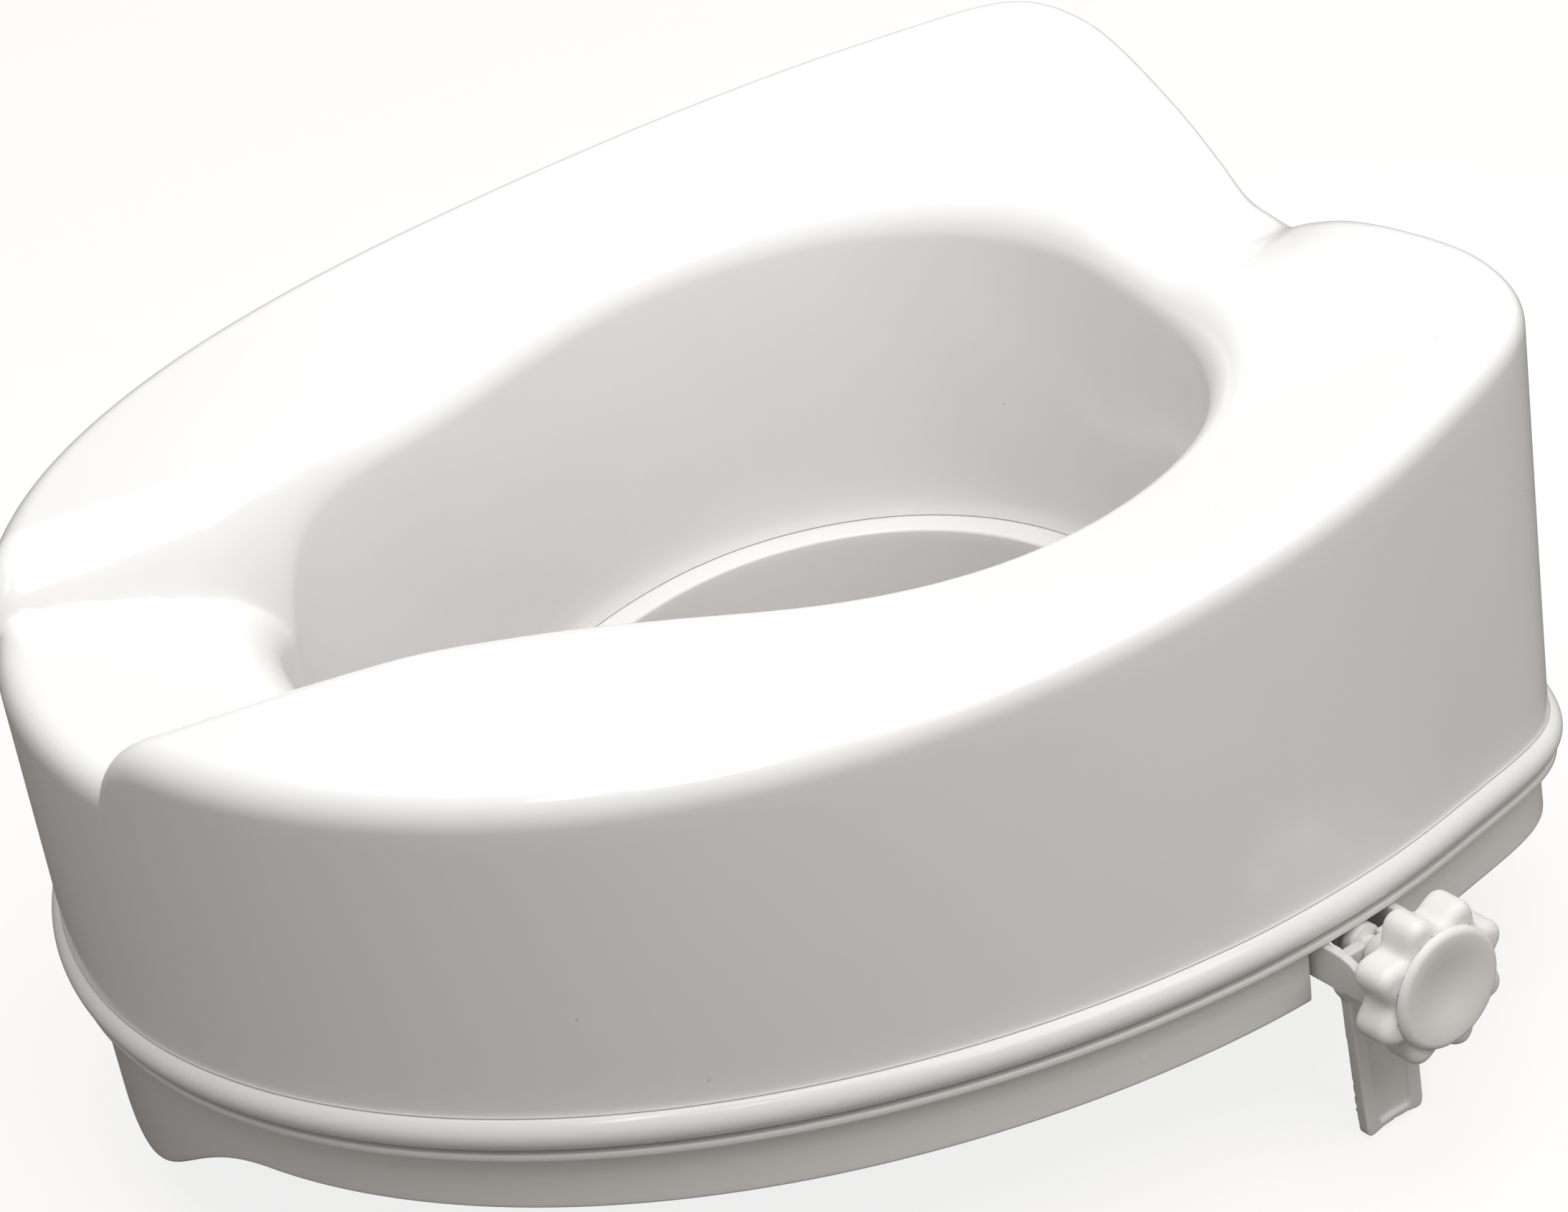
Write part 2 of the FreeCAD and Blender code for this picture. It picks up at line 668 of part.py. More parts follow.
def turn_on_axis(body, name, points):
    """Solid of revolution about the screw axis, from (x, radius) points."""
    sk = sketch(body, name + "_profile", "XZ_Plane", up=size("axis_height"))
    revolve(body, sk, points, "H_Axis", name)


def groove_row(body, sk, kind, tag, axis, pitch, count):
    """Groove cut from a sketch and repeated along one of its axes."""
    groove = pocket(body, sk, bound(kind + "_groove"), "%s_groovecut_%s" % (kind, tag), rev=True)
    pattern = body.newObject("PartDesign::LinearPattern", "%s_grooves_%s" % (kind, tag))
    pattern.Originals = [groove]
    pattern.Direction = (sk, [axis])
    pattern.Length = pitch * (count - 1)
    pattern.Occurrences = count
    body.Tip = pattern
    doc.recompute()


# -------------------------------------------------------------- clamp pieces
WEB_IN = size("web_inner")
WEB_OUT = WEB_IN + size("web_thick")
WHEEL_FACE = size("wheel_back") + size("wheel_thick")
PEG_HEIGHTS = (-11.0, -29.0)


def make_bracket(side):
    """Hollow arm with a cross web, and a leg hanging from the web."""
    body = new_body("bracket_body_" + side)
    low, high, half = size("arm_low"), size("arm_high"), size("arm_half")
    inner_end, outer_end = -size("arm_inner"), size("arm_outer")
    # arm, its outer end rounded down in a quarter ellipse
    sk = sketch(body, "bracket_side_" + side, "XZ_Plane")
    points = [(inner_end, low), (outer_end - 2.5, low),
              (outer_end - 0.7, low + 0.7), (outer_end, low + 2.4)]
    for k in range(1, 7):
        a = math.radians(15.0 * k)
        points.append((outer_end - 11.0 * (1 - math.cos(a)),
                       low + 2.4 + (high - low - 2.4) * math.sin(a)))
    points.append((inner_end, high))
    polygon(sk, points)
    pad(body, sk, doubled("arm_half"), "bracket_arm_" + side, mid=True)
    # hollow on both sides of the web
    hollow = half - size("arm_wall")
    sk = sketch(body, "bracket_between_" + side, "XY_Plane")
    rectangle(sk, inner_end - 1, -hollow, WEB_IN, hollow)
    rectangle(sk, WEB_OUT, -hollow, outer_end + 1, hollow)
    pocket(body, sk, 60, "bracket_hollow_" + side, through=True)
    # web lowered, and slotted for the screw's neck
    sk = sketch(body, "bracket_webtop_" + side, "YZ_Plane")
    rectangle(sk, -hollow + 0.02, size("web_top"), hollow - 0.02, high + 1)
    pocket(body, sk, 60, "bracket_webcut_" + side, through=True)
    axis_z, slot = size("axis_height"), size("neck_radius") + 0.15
    sk = sketch(body, "bracket_slot_" + side, "YZ_Plane")
    points = [(-slot, high + 2), (-slot, axis_z)]
    for k in range(1, 12):
        a = math.pi + math.pi * k / 12
        points.append((slot * math.cos(a), axis_z + slot * math.sin(a)))
    points += [(slot, axis_z), (slot, high + 2)]
    polygon(sk, points)
    pocket(body, sk, 60, "bracket_slotcut_" + side, through=True)
    # leg, with a slight arch in its lower edge
    leg_top, leg_foot, foot_z = size("leg_half_top"), size("leg_half_low"), size("leg_low")
    sk = sketch(body, "bracket_leg_" + side, "YZ_Plane", lift=WEB_IN)
    outline = [(-half, low + 3), (-half, low - 0.5), (-half + 0.5, low - 1.6),
               (-leg_top, low - 4.2), (-leg_top + 0.1, low - 6.0),
               (-leg_foot, foot_z + 1.6), (-leg_foot + 0.5, foot_z + 0.45),
               (-leg_foot + 1.6, foot_z), (-4.2, foot_z + 0.75), (0, foot_z + 1.05)]
    polygon(sk, outline + [(-y, z) for y, z in reversed(outline[:-1])])
    pad(body, sk, bound("web_thick"), "bracket_legpad_" + side)
    # shallow channel on the outward face
    top_half, foot_half = leg_top - size("leg_border"), leg_foot - size("leg_border")
    sk = sketch(body, "bracket_channel_" + side, "YZ_Plane", lift=WEB_OUT)
    polygon(sk, [(-top_half, low - 5.0), (-foot_half, foot_z + 4.0),
                 (-foot_half + 0.8, foot_z + 2.6), (0, foot_z + 2.9),
                 (foot_half - 0.8, foot_z + 2.6), (foot_half, foot_z + 4.0),
                 (top_half, low - 5.0), (0, low - 3.6)])
    pocket(body, sk, bound("leg_channel"), "bracket_channelcut_" + side)
    # holes for the grip's pegs
    sk = sketch(body, "bracket_pegholes_" + side, "YZ_Plane", lift=WEB_IN)
    for z in PEG_HEIGHTS:
        circle(sk, 0, z, "grip_peg_radius", fit=True)
    pocket(body, sk, 1.6, "bracket_pegcut_" + side, rev=True)
    return body


def make_grip(side):
    """Grooved pad on the leg's inward face, held by two pegs."""
    body = new_body("grip_body_" + side)
    face = WEB_IN - 0.02 - size("grip_thick")
    half, low, high = size("grip_half"), size("grip_low"), size("grip_high")
    sk = sketch(body, "grip_outline_" + side, "YZ_Plane", lift=face)
    eased_rectangle(sk, -half, low, half, high, cut=1.6, mid=0.4)
    pad(body, sk, bound("grip_thick"), "grip_block_" + side)
    sk = sketch(body, "grip_pegs_" + side, "YZ_Plane", lift=WEB_IN - 0.1)
    for z in PEG_HEIGHTS:
        circle(sk, 0, z, "grip_peg_radius")
    pad(body, sk, 1.6, "grip_pegpad_" + side)
    sk = sketch(body, "grip_groove_" + side, "YZ_Plane", lift=face)
    rectangle(sk, -half - 1, low + 2.4, half + 1, low + 3.8)
    groove_row(body, sk, "grip", side, "V_Axis", pitch=3.7, count=9)
    return body


def make_wheel(side):
    """Eight-lobed wheel with a hub towards the bracket."""
    body = new_body("wheel_body_" + side)
    sk = axis_sketch(body, "wheel_outline_" + side, size("wheel_back"))
    points = []
    for k in range(96):
        a = 2 * math.pi * k / 96
        wave = math.cos(8 * (a - math.radians(size("wheel_phase"))))
        r = (size("wheel_radius")
             + size("wheel_wave") * (wave * 0.92 + 0.16 * (1 - wave * wave)))
        points.append(V(r * math.cos(a), r * math.sin(a), 0))
    curve = Part.BSplineCurve()
    curve.interpolate(Points=points, PeriodicFlag=True)
    sk.addGeometry(curve, False)
    disc = pad(body, sk, bound("wheel_thick"), "wheel_pad_" + side)
    # round the two lobed edges, which are the long ones square to the axis
    edges = []
    for i, edge in enumerate(disc.Shape.Edges, start=1):
        xs = [point.x for point in edge.discretize(8)]
        if max(xs) - min(xs) < 1e-4 and edge.Length > 60:
            edges.append("Edge%d" % i)
    fillet = body.newObject("PartDesign::Fillet", "wheel_round_" + side)
    fillet.Base = (disc, edges)
    fillet.setExpression("Radius", bound("wheel_round"))
    doc.recompute()
    sk = axis_sketch(body, "wheel_hub_" + side, size("hub_back"))
    circle(sk, 0, 0, "hub_radius")
    pad(body, sk, size("wheel_back") - size("hub_back") + 2, "wheel_hubpad_" + side)
    # seat of the cap
    depth = size("cap_seat_depth")
    sk = axis_sketch(body, "wheel_capseat_" + side, WHEEL_FACE - depth)
    circle(sk, 0, 0, "cap_seat_radius", fit=True)
    pocket(body, sk, depth + 1, "wheel_capcut_" + side, rev=True)
    # bore for the screw's stem
    sk = axis_sketch(body, "wheel_bore_" + side, size("hub_back") - 1)
    circle(sk, 0, 0, "stem_radius", fit=True)
    pocket(body, sk, 40, "wheel_borecut_" + side, rev=True)
    return body


def make_cap(side):
    """Cap seated in the wheel, with a rounded rim and a dished face."""
    body = new_body("cap_body_" + side)
    back = WHEEL_FACE - size("cap_seat_depth") + 0.02
    radius, seat = size("cap_radius"), size("cap_seat_radius")
    front, rim = WHEEL_FACE + size("cap_rise"), 1.5
    points = [(back, 0), (back, seat - 0.4), (back + 0.4, seat), (WHEEL_FACE + 0.02, seat),
              (WHEEL_FACE + 0.02, radius - 0.5), (WHEEL_FACE + 0.25, radius - 0.15)]
    for k in range(7):
        a = math.radians(15 * k)
        points.append((front - rim + rim * math.sin(a), radius - rim + rim * math.cos(a)))
    for k in range(1, 11):
        inward = k / 10.0
        points.append((front - 2.3 * smooth(inward * 1.35),
                       (radius - rim - 0.6) * (1 - inward)))
    turn_on_axis(body, "cap_turn_" + side, points)
    return body


def make_screw(side):
    """Adjuster screw: plain shank, a disc each side of the web, neck and stem."""
    body = new_body("screw_body_" + side)
    shank, core_r, neck = size("screw_radius"), size("screw_core"), size("neck_radius")
    disc, stem, end = size("disc_radius"), size("stem_radius"), size("stem_end")
    hub = size("hub_back")
    turn_on_axis(body, "screw_turn_" + side, [
        (-42.0, 0), (-42.0, core_r - 0.4), (-40.9, shank), (WEB_IN - 4.2, shank),
        (WEB_IN - 4.2, disc - 0.6), (WEB_IN - 3.6, disc),
        (WEB_IN - 0.9, disc), (WEB_IN - 0.3, disc - 0.6),
        (WEB_IN - 0.3, neck), (WEB_OUT + 0.3, neck),
        (WEB_OUT + 0.3, disc - 0.8), (WEB_OUT + 1.1, disc),
        (hub - 0.9, disc), (hub - 0.1, disc - 0.8), (hub - 0.1, stem), (end, stem),
        # hole in the stem's end for the fixing screw
        (end, 1.3), (end - 9, 1.3), (end - 9, 0)])
    return body


def make_wheel_screw(side):
    """Small screw in the end of the stem."""
    body = new_body("wheelscrew_body_" + side)
    end = size("stem_end")
    head = end + 0.05
    turn_on_axis(body, "wheelscrew_turn_" + side, [
        (end - 8.0, 0), (end - 7.2, 1.1), (end - 0.2, 1.25), (head, 1.25), (head, 3.2),
        (head + 0.9, 3.2), (head + 1.9, 2.4), (head + 2.2, 1.6), (head + 2.2, 0)])
    return body


def make_nut(side):
    body = new_body("nut_body_" + side)
    half, low, high, cut = size("nut_half"), size("nut_low"), size("nut_high"), 1.5
    sk = sketch(body, "nut_outline_" + side, "YZ_Plane", lift=-size("nut_in"))
    polygon(sk, [(-half + cut, low), (half - cut, low), (half, low + cut),
                 (half, high), (-half, high), (-half, low + cut)])
    pad(body, sk, bound("nut_len"), "nut_block_" + side)
    sk = sketch(body, "nut_bore_" + side, "YZ_Plane")
    circle(sk, 0, size("axis_height"), "screw_radius", fit=True)
    pocket(body, sk, 120, "nut_borecut_" + side, through=True)
    return body


def make_strap(side):
    """Flat strap under the arm, screwed to the two bosses."""
    body = new_body("strap_body_" + side)
    start, half = -size("strap_in"), size("strap_half")
    sk = sketch(body, "strap_outline_" + side, "XY_Plane", lift=size("strap_low"))
    eased_rectangle(sk, start, -half, start + size("strap_len"), half, cut=3.0, mid=0.8)
    pad(body, sk, bound("strap_thick"), "strap_plate_" + side)
    sk = sketch(body, "strap_holes_" + side, "XY_Plane")
    for y in (-STRAP_SCREW_Y, STRAP_SCREW_Y):
        circle(sk, STRAP_MIDDLE, y, "strap_hole_radius")
    pocket(body, sk, 60, "strap_holecut_" + side, through=True)
    return body


def make_tappers(side, sign):
    """The strap's two screws, head down, as one compound."""
    low = size("strap_low")
    head, shank = size("tapper_head"), size("tapper_shank")
    screws = []
    for j, y in enumerate((-STRAP_SCREW_Y, STRAP_SCREW_Y)):
        tag = "%s_%d" % (side, j)
        body = new_body("tapper_" + tag)
        sk = sketch(body, "tapper_profile_" + tag, "XZ_Plane")
        revolve(body, sk, [(0, low - 1.9), (1.6, low - 1.75), (head - 0.4, low - 1.0),
                           (head, low - 0.05), (shank, low - 0.05),
                           (shank, STRAP_TOP + 7.6), (0, STRAP_TOP + 9.2)],
                "V_Axis", "tapper_turn_" + tag)
        # cross recess
        for arm, (half_x, half_y) in enumerate(((2.0, 0.35), (0.35, 2.0))):
            sk = sketch(body, "tapper_cross_%s_%d" % (tag, arm), "XY_Plane", lift=low - 3.0)
            rectangle(sk, -half_x, -half_y, half_x, half_y)
            pocket(body, sk, 2.0, "tapper_crosscut_%s_%d" % (tag, arm), rev=True)
        body.Placement = clamp_place(sign, STRAP_MIDDLE, y)
        screws.append(body)
    pair = doc.addObject("Part::Compound", "tappers_" + side)
    pair.Links = screws
    return pair


def make_pad(side, end):
    """Anti-slip pad with grooves across its tread."""
    tag = "%s_%s" % (side, end)
    body = new_body("pad_body_" + tag)
    half_long, half_wide = size("pad_long") / 2, size("pad_wide") / 2
    sk = sketch(body, "pad_outline_" + tag, "XY_Plane")
    rectangle(sk, -half_long, -half_wide, half_long, half_wide)
    pad(body, sk, bound("pad_thick"), "pad_block_" + tag)
    sk = sketch(body, "pad_groove_" + tag, "XY_Plane")
    rectangle(sk, -half_long + 3.2, -half_wide - 1, -half_long + 4.8, half_wide + 1)
    groove_row(body, sk, "pad", tag, "H_Axis", pitch=4.0, count=12)
    return body


CLAMP_PARTS = [
    ("clamp_bracket", make_bracket), ("bracket_grip_pad", make_grip),
    ("hand_wheel", make_wheel), ("hand_wheel_cap", make_cap),
    ("adjuster_screw", make_screw), ("wheel_fixing_screw", make_wheel_screw),
    ("screw_nut", make_nut), ("clamp_guide", make_strap),
]
for side, sign in SIDES:
    for label, make in CLAMP_PARTS:
        finish(make(side), "%s_%s" % (label, side), clamp_place(sign))
    finish(make_tappers(side, sign), "guide_screws_" + side)
for side, end, place in pads:
    finish(make_pad(side, end), "antislip_pad_%s_%s" % (end, side), place)

# ---------------------------------------------------------- check and export
doc.recompute()
os.makedirs("parts", exist_ok=True)
broken = []
for obj in doc.Objects:
    faults = [state for state in obj.State if state in ("Invalid", "Error")]
    if faults:
        broken.append((obj.Name, faults))
for obj in finished:
    shape = obj.Shape
    if shape.isNull() or not shape.isValid() or len(shape.Solids) < 1:
        broken.append((obj.Label, "shape"))
if broken:
    raise RuntimeError("broken objects: %s" % broken)
for obj in finished:
    obj.Shape.exportStep("parts/%s.step" % obj.Label)
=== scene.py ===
"""A raised seat with an opening through it, on a base ring held by two side clamps.

Millimetres, about a point inside the opening; ORIGIN moves them into the product's frame.
+Z is up, +Y the rear, and +X the side whose parts are named "left". Angles around the
seat start at +Y and grow towards +X.
"""
import bpy
import bmesh
import json
import math
import numpy as np
from mathutils import Matrix, Vector


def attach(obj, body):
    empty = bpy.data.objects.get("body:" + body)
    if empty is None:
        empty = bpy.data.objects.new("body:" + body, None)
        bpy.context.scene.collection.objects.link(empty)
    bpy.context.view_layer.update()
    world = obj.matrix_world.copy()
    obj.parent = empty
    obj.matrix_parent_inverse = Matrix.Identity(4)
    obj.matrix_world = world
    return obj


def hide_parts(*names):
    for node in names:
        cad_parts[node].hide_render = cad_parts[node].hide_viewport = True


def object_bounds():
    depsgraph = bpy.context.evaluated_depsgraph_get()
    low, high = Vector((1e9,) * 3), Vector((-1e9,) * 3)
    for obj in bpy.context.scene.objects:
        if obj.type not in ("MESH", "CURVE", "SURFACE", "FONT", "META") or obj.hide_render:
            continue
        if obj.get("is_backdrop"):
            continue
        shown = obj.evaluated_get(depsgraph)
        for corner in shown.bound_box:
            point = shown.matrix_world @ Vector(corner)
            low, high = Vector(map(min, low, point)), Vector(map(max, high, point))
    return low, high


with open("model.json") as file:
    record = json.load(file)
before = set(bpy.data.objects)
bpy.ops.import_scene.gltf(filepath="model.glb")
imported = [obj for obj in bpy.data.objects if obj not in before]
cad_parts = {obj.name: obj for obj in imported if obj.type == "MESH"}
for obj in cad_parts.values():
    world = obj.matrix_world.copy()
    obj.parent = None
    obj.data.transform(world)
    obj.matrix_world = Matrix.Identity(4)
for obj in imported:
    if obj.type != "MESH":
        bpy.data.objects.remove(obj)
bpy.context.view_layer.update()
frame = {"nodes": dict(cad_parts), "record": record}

MM = 0.001
ORIGIN = (0.0, 55.0, 41.0)
SIDES = (("left", 1), ("right", -1))

# Outer outline, half of it from rear to front: (x, y).
OUTER_XY = [
    (0, 137.5), (30, 137.4), (58, 137.5), (84, 137.8), (104, 137.0),
    (121, 133.8), (138, 128.0), (149, 115.0), (155.8, 99.0), (162.9, 81.4),
    (170.9, 60.0), (176.9, 36.0), (181, 12.0), (182.3, -12.0), (182.0, -36.0),
    (179.3, -62.0), (174.0, -90.0), (165.5, -118.0), (153.6, -146.0), (137.0, -173.5),
    (116.0, -199.0), (90.0, -221.0), (61.0, -237.3), (31.0, -246.6), (0, -249.0)]
# Outline of the opening, half of it from rear to front: (x, y).
OPENING_XY = [
    (0, 84.0), (22, 83.4), (43, 80.3), (63, 73.0), (80, 62.0),
    (94, 47.5), (104, 30.0), (110, 10.0), (111.5, -10.0), (108.0, -31.0),
    (100.5, -51.5), (90.5, -70.5), (80.0, -89.0), (70.5, -108.0), (63.0, -127.0),
    (58.0, -143.0), (51.5, -155.5), (40.0, -163.8), (22.0, -167.6), (0, -168.5)]

# How far the shell wall stands inside the outline at the top, by angle from the rear.
TOP_INSET = np.array([5.0, 5.5, 4.5, 1.2, -1.0, -0.4, 0.6, 0.8, 0.2, 0.4, 2.0, 4.0, 4.6])
TOP_INSET_STEP = math.radians(15.0)
# How far the rear of the top dips, by distance from the middle plane.
REAR_DROP = np.array([27.5, 26.2, 18.8, 12.6, 8.4, 5.5, 3.4, 1.6, 0.5, 0.0])
REAR_DROP_STEP = 15.0

# Shell
SHELL_BOTTOM = 21.2
SHELL_WALL = 3.2
BEAD_HEIGHT = 26.5          # centre of the bead round the foot
BEAD_RADIUS = 5.0
FOOT_INSET = 3.4            # wall foot inside the outline
RIM_RADIUS = 10.0           # rounding along the outer edge of the top
OPENING_RADIUS = 13.0       # rounding down into the opening
OPENING_TAPER = 1.6         # the opening is this much narrower at its foot
INNER_GROW = 2.2            # the recess is wider on the inner skin
RECESS_HALF_WIDTH = 68.0
RECESS_SIDE_WIDTH = 19.0

# Base ring
FLANGE_TOP = 20.7
FLANGE_UNDER = 18.7
FLANGE_INSET = 2.0
SKIRT_INSET = 7.0
SKIRT_WALL = 3.0
SKIRT_BOTTOM = 0.3
SKIRT_ROUND = 1.1
LOBE_HALF_WIDTH = 72.0      # the skirt reaches down in a lobe at the front
LOBE_DEPTH = 27.3
COLLAR_GAP = 5.5            # collar inside the foot of the shell's opening
COLLAR_WALL = 2.6
COLLAR_BOTTOM = -24.0

# Clamps: each has a frame of its own, x outwards, y along the side, z up
CLAMP_X, CLAMP_Y = 168.5, 41.5
CLAMP_TURN = math.radians(12.4)
CLAMP_OUT_X, CLAMP_OUT_Y = math.cos(CLAMP_TURN), math.sin(CLAMP_TURN)
NOTCH_HALF_WIDTH = 14.2
NOTCH_TOP = 18.2
AXIS_HEIGHT = 13.0
WHEEL_FACE = 34.5
BORE_RADIUS = 3.45
SEAT_IN_WHEEL = 14.8        # radius of the pocket for the disc
THREAD_START = -42.0
THREAD_PITCH = 5.0
THREAD_ROOT, THREAD_CREST = 3.25, 4.0


# ---------------------------------------------------------------- curves
def smooth(t):
    t = np.clip(t, 0.0, 1.0)
    return t * t * t * (t * (6 * t - 15) + 10)


def ease(t):
    return t * t * (3 - 2 * t)


def evenly(count):
    return np.linspace(0, 1, count)


def clamped_spline(xs, ys):
    """Cubic spline through the points, level at both ends."""
    step = np.diff(xs)
    slope = np.diff(ys) / step
    system = (np.diag(2 * (np.append(step, 0) + np.append(0, step)))
              + np.diag(step, 1) + np.diag(step, -1))
    bend = np.linalg.solve(system, 6 * np.diff(np.concatenate([[0], slope, [0]])))

    def curve(x):
        i = np.clip(np.searchsorted(xs, x) - 1, 0, len(xs) - 2)
        to_next, from_last = xs[i + 1] - x, x - xs[i]
        return ((bend[i] * to_next ** 3 + bend[i + 1] * from_last ** 3) / (6 * step[i])
                + (ys[i] / step[i] - bend[i] * step[i] / 6) * to_next
                + (ys[i + 1] / step[i] - bend[i + 1] * step[i] / 6) * from_last)
    return curve


def mirrored_curve(table, position):
    """Catmull-Rom curve through entries 0, 1, 2..., mirrored at both ends."""
    last = len(table) - 1
    position = np.minimum(np.abs(position), last - 1e-5)
    i = np.floor(position).astype(int)
    f = position - i
    a, b, c, d = (table[last - np.abs(last - np.abs(i + k))] for k in (-1, 0, 1, 2))
    return 0.5 * (2 * b + (c - a) * f + (2 * a - 5 * b + 4 * c - d) * f * f
                  + (3 * b - a - 3 * c + d) * f ** 3)


# ---------------------------------------------------------------- outlines
POLAR_COUNT = 7200
POLAR_ANGLES = np.arange(POLAR_COUNT) * 2 * np.pi / POLAR_COUNT


def folded(angle):
    """Angle from the rear, the same on both sides."""
    return np.abs(np.arctan2(np.sin(angle), np.cos(angle)))


def polar_outline(points, soft_until, blend_span, direction):
    """Radius all round, and the radial distance that gives 1 mm square to the outline.

    The radius is blurred softly on one side of the angle soft_until and tightly past
    blend_span degrees on the other; direction is +1 when tight lies to the front.
    """
    xy = np.array(points, float)
    spline = clamped_spline(np.arctan2(xy[:, 0], xy[:, 1]), np.hypot(xy[:, 0], xy[:, 1]))
    angle = folded(POLAR_ANGLES)
    radius = spline(angle)
    frequency = np.fft.rfftfreq(POLAR_COUNT, 1.0 / POLAR_COUNT)

    def blurred(values, degrees):
        gauss = np.exp(-0.5 * (frequency * np.radians(degrees)) ** 2)
        return np.fft.irfft(np.fft.rfft(values) * gauss, POLAR_COUNT)

    soft, tight = blurred(radius, 7.0), blurred(radius, 2.2)
    weight = smooth(direction * (np.degrees(angle) - soft_until) / blend_span)
    radius = blurred(soft + (tight - soft) * weight, 1.5)
    slope = np.fft.irfft(np.fft.rfft(radius) * 1j * frequency, POLAR_COUNT)
    return radius, np.sqrt(radius * radius + slope * slope) / radius


OUTER, OUTER_STRETCH = polar_outline(OUTER_XY, 107.0, 35.0, -1)
OPENING, OPENING_STRETCH = polar_outline(OPENING_XY, 105.0, 35.0, 1)


def look_up(table, angle):
    position = np.mod(angle, 2 * np.pi) / (2 * np.pi) * POLAR_COUNT
    i = np.floor(position).astype(int)
    f = position - i
    return table[i % POLAR_COUNT] * (1 - f) + table[(i + 1) % POLAR_COUNT] * f


def recess_side(t, softness):
    """Rounded shoulder (0) down to a crease at the floor (1)."""
    t = np.maximum(t, 0.0)
    shoulder = (1 - np.sqrt(np.maximum(0.0, 1 - 0.9216 * np.minimum(t, 1) ** 2))) / 0.72
    fall = np.minimum(np.where(t < 1, shoulder, 1 + 4.57 * (t - 1)), 3.0)
    depth = -softness * np.log(np.exp(-fall / softness) + np.exp(-1 / softness))
    start = -softness * np.log(1 + np.exp(-1 / softness))
    return np.clip((depth - start) / (1 - start), 0.0, 1.0)


def top_height(x, y, outward, grow):
    """Height of the top; outward runs from 0 at the opening to 1 at the wall."""
    along = np.clip(y, -250, 137) / 200
    outer_edge = 134.9 + 23.7 * along + 14.7 * along ** 2
    opening_edge = 122.3 + 8.7 * along + 15.3 * along ** 2
    rear = smooth(y / 70.0)
    drop = mirrored_curve(REAR_DROP, x / REAR_DROP_STEP)
    outer_edge = outer_edge - drop * rear
    opening_edge = opening_edge - 0.06 * drop * rear
    crown = outward * (1.18 - 0.18 * outward)
    height = opening_edge + (outer_edge - opening_edge) * crown
    # recess across the front
    ahead = np.maximum(-10.0, -165.0 - y)
    floor = 92.0 + 0.44 * ahead - 0.002 * ahead * ahead
    side = recess_side((RECESS_HALF_WIDTH - np.abs(x) + grow) / RECESS_SIDE_WIDTH,
                       0.035 + 0.065 * (1.0 - outward))
    return height + (floor - height) * side * smooth((-80.0 - y) / 45.0)


# ------------------------------------------------------------- mesh helpers
def link_object(name, data):
    ob = bpy.data.objects.new(name, data)
    bpy.context.scene.collection.objects.link(ob)
    return ob


def closed_grid(name, points):
    """Object from a grid of points that closes in both directions, facing outwards."""
    index = np.arange(points.shape[0] * points.shape[1]).reshape(points.shape[:2])
    beside = np.roll(index, -1, 0)
    faces = np.stack([index, beside, np.roll(beside, -1, 1), np.roll(index, -1, 1)], -1)
    mesh = bpy.data.meshes.new(name)
    places = (points.reshape(-1, 3) + np.array(ORIGIN)) * MM
    mesh.from_pydata(places.tolist(), [], faces.reshape(-1, 4).tolist())
    mesh.update()
    for polygon in mesh.polygons:
        polygon.use_smooth = True
    bm = bmesh.new()
    bm.from_mesh(mesh)
    bmesh.ops.remove_doubles(bm, verts=bm.verts, dist=1e-7)
    bmesh.ops.recalc_face_normals(bm, faces=bm.faces)
    if bm.calc_volume(signed=True) < 0:
        bmesh.ops.reverse_faces(bm, faces=bm.faces)
    bm.to_mesh(mesh)
    bm.free()
    return link_object(name, mesh)


def axes_matrix(axes, place):
    return Matrix.Translation(place) @ Matrix(axes).transposed().to_4x4()


made_parts = []             # (object, material slot)


def register(ob, node, slot, body):
    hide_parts(node)
    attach(ob, body)
    made_parts.append((ob, slot))


class Sections:
    """Upright sections all round the seat, built up one (radius, height) at a time."""

    def __init__(self, angle):
        self.sin, self.cos = np.sin(angle), np.cos(angle)
        self.outer, self.opening = look_up(OUTER, angle), look_up(OPENING, angle)
        self.outer_stretch = look_up(OUTER_STRETCH, angle)
        self.opening_stretch = look_up(OPENING_STRETCH, angle)
        self.stations = []

    def add(self, radius, height):
        level = 0 * self.sin
        self.stations.append((radius + level, height + level))

    def line(self, fractions, start, end):
        for f in fractions:
            self.add(start[0] + (end[0] - start[0]) * f, start[1] + (end[1] - start[1]) * f)

    def arc(self, radius, height, size, stretch, degrees):
        """Round about (radius, height), from 0 degrees outwards to 90 upwards."""
        for a in np.radians(degrees):
            self.add(radius + size * stretch * np.cos(a), height + size * np.sin(a))

    def points(self):
        radius = np.stack([station[0] for station in self.stations], 1)
        height = np.stack([station[1] for station in self.stations], 1)
        return np.stack([radius * self.sin[:, None], radius * self.cos[:, None], height], -1)


def section_angles(extra=()):
    """Every half degree, finer across the front."""
    angles = np.concatenate([np.arange(0, 360, 0.5), np.arange(154, 206, 0.2), extra])
    return np.radians(np.unique(np.round(angles, 5)))


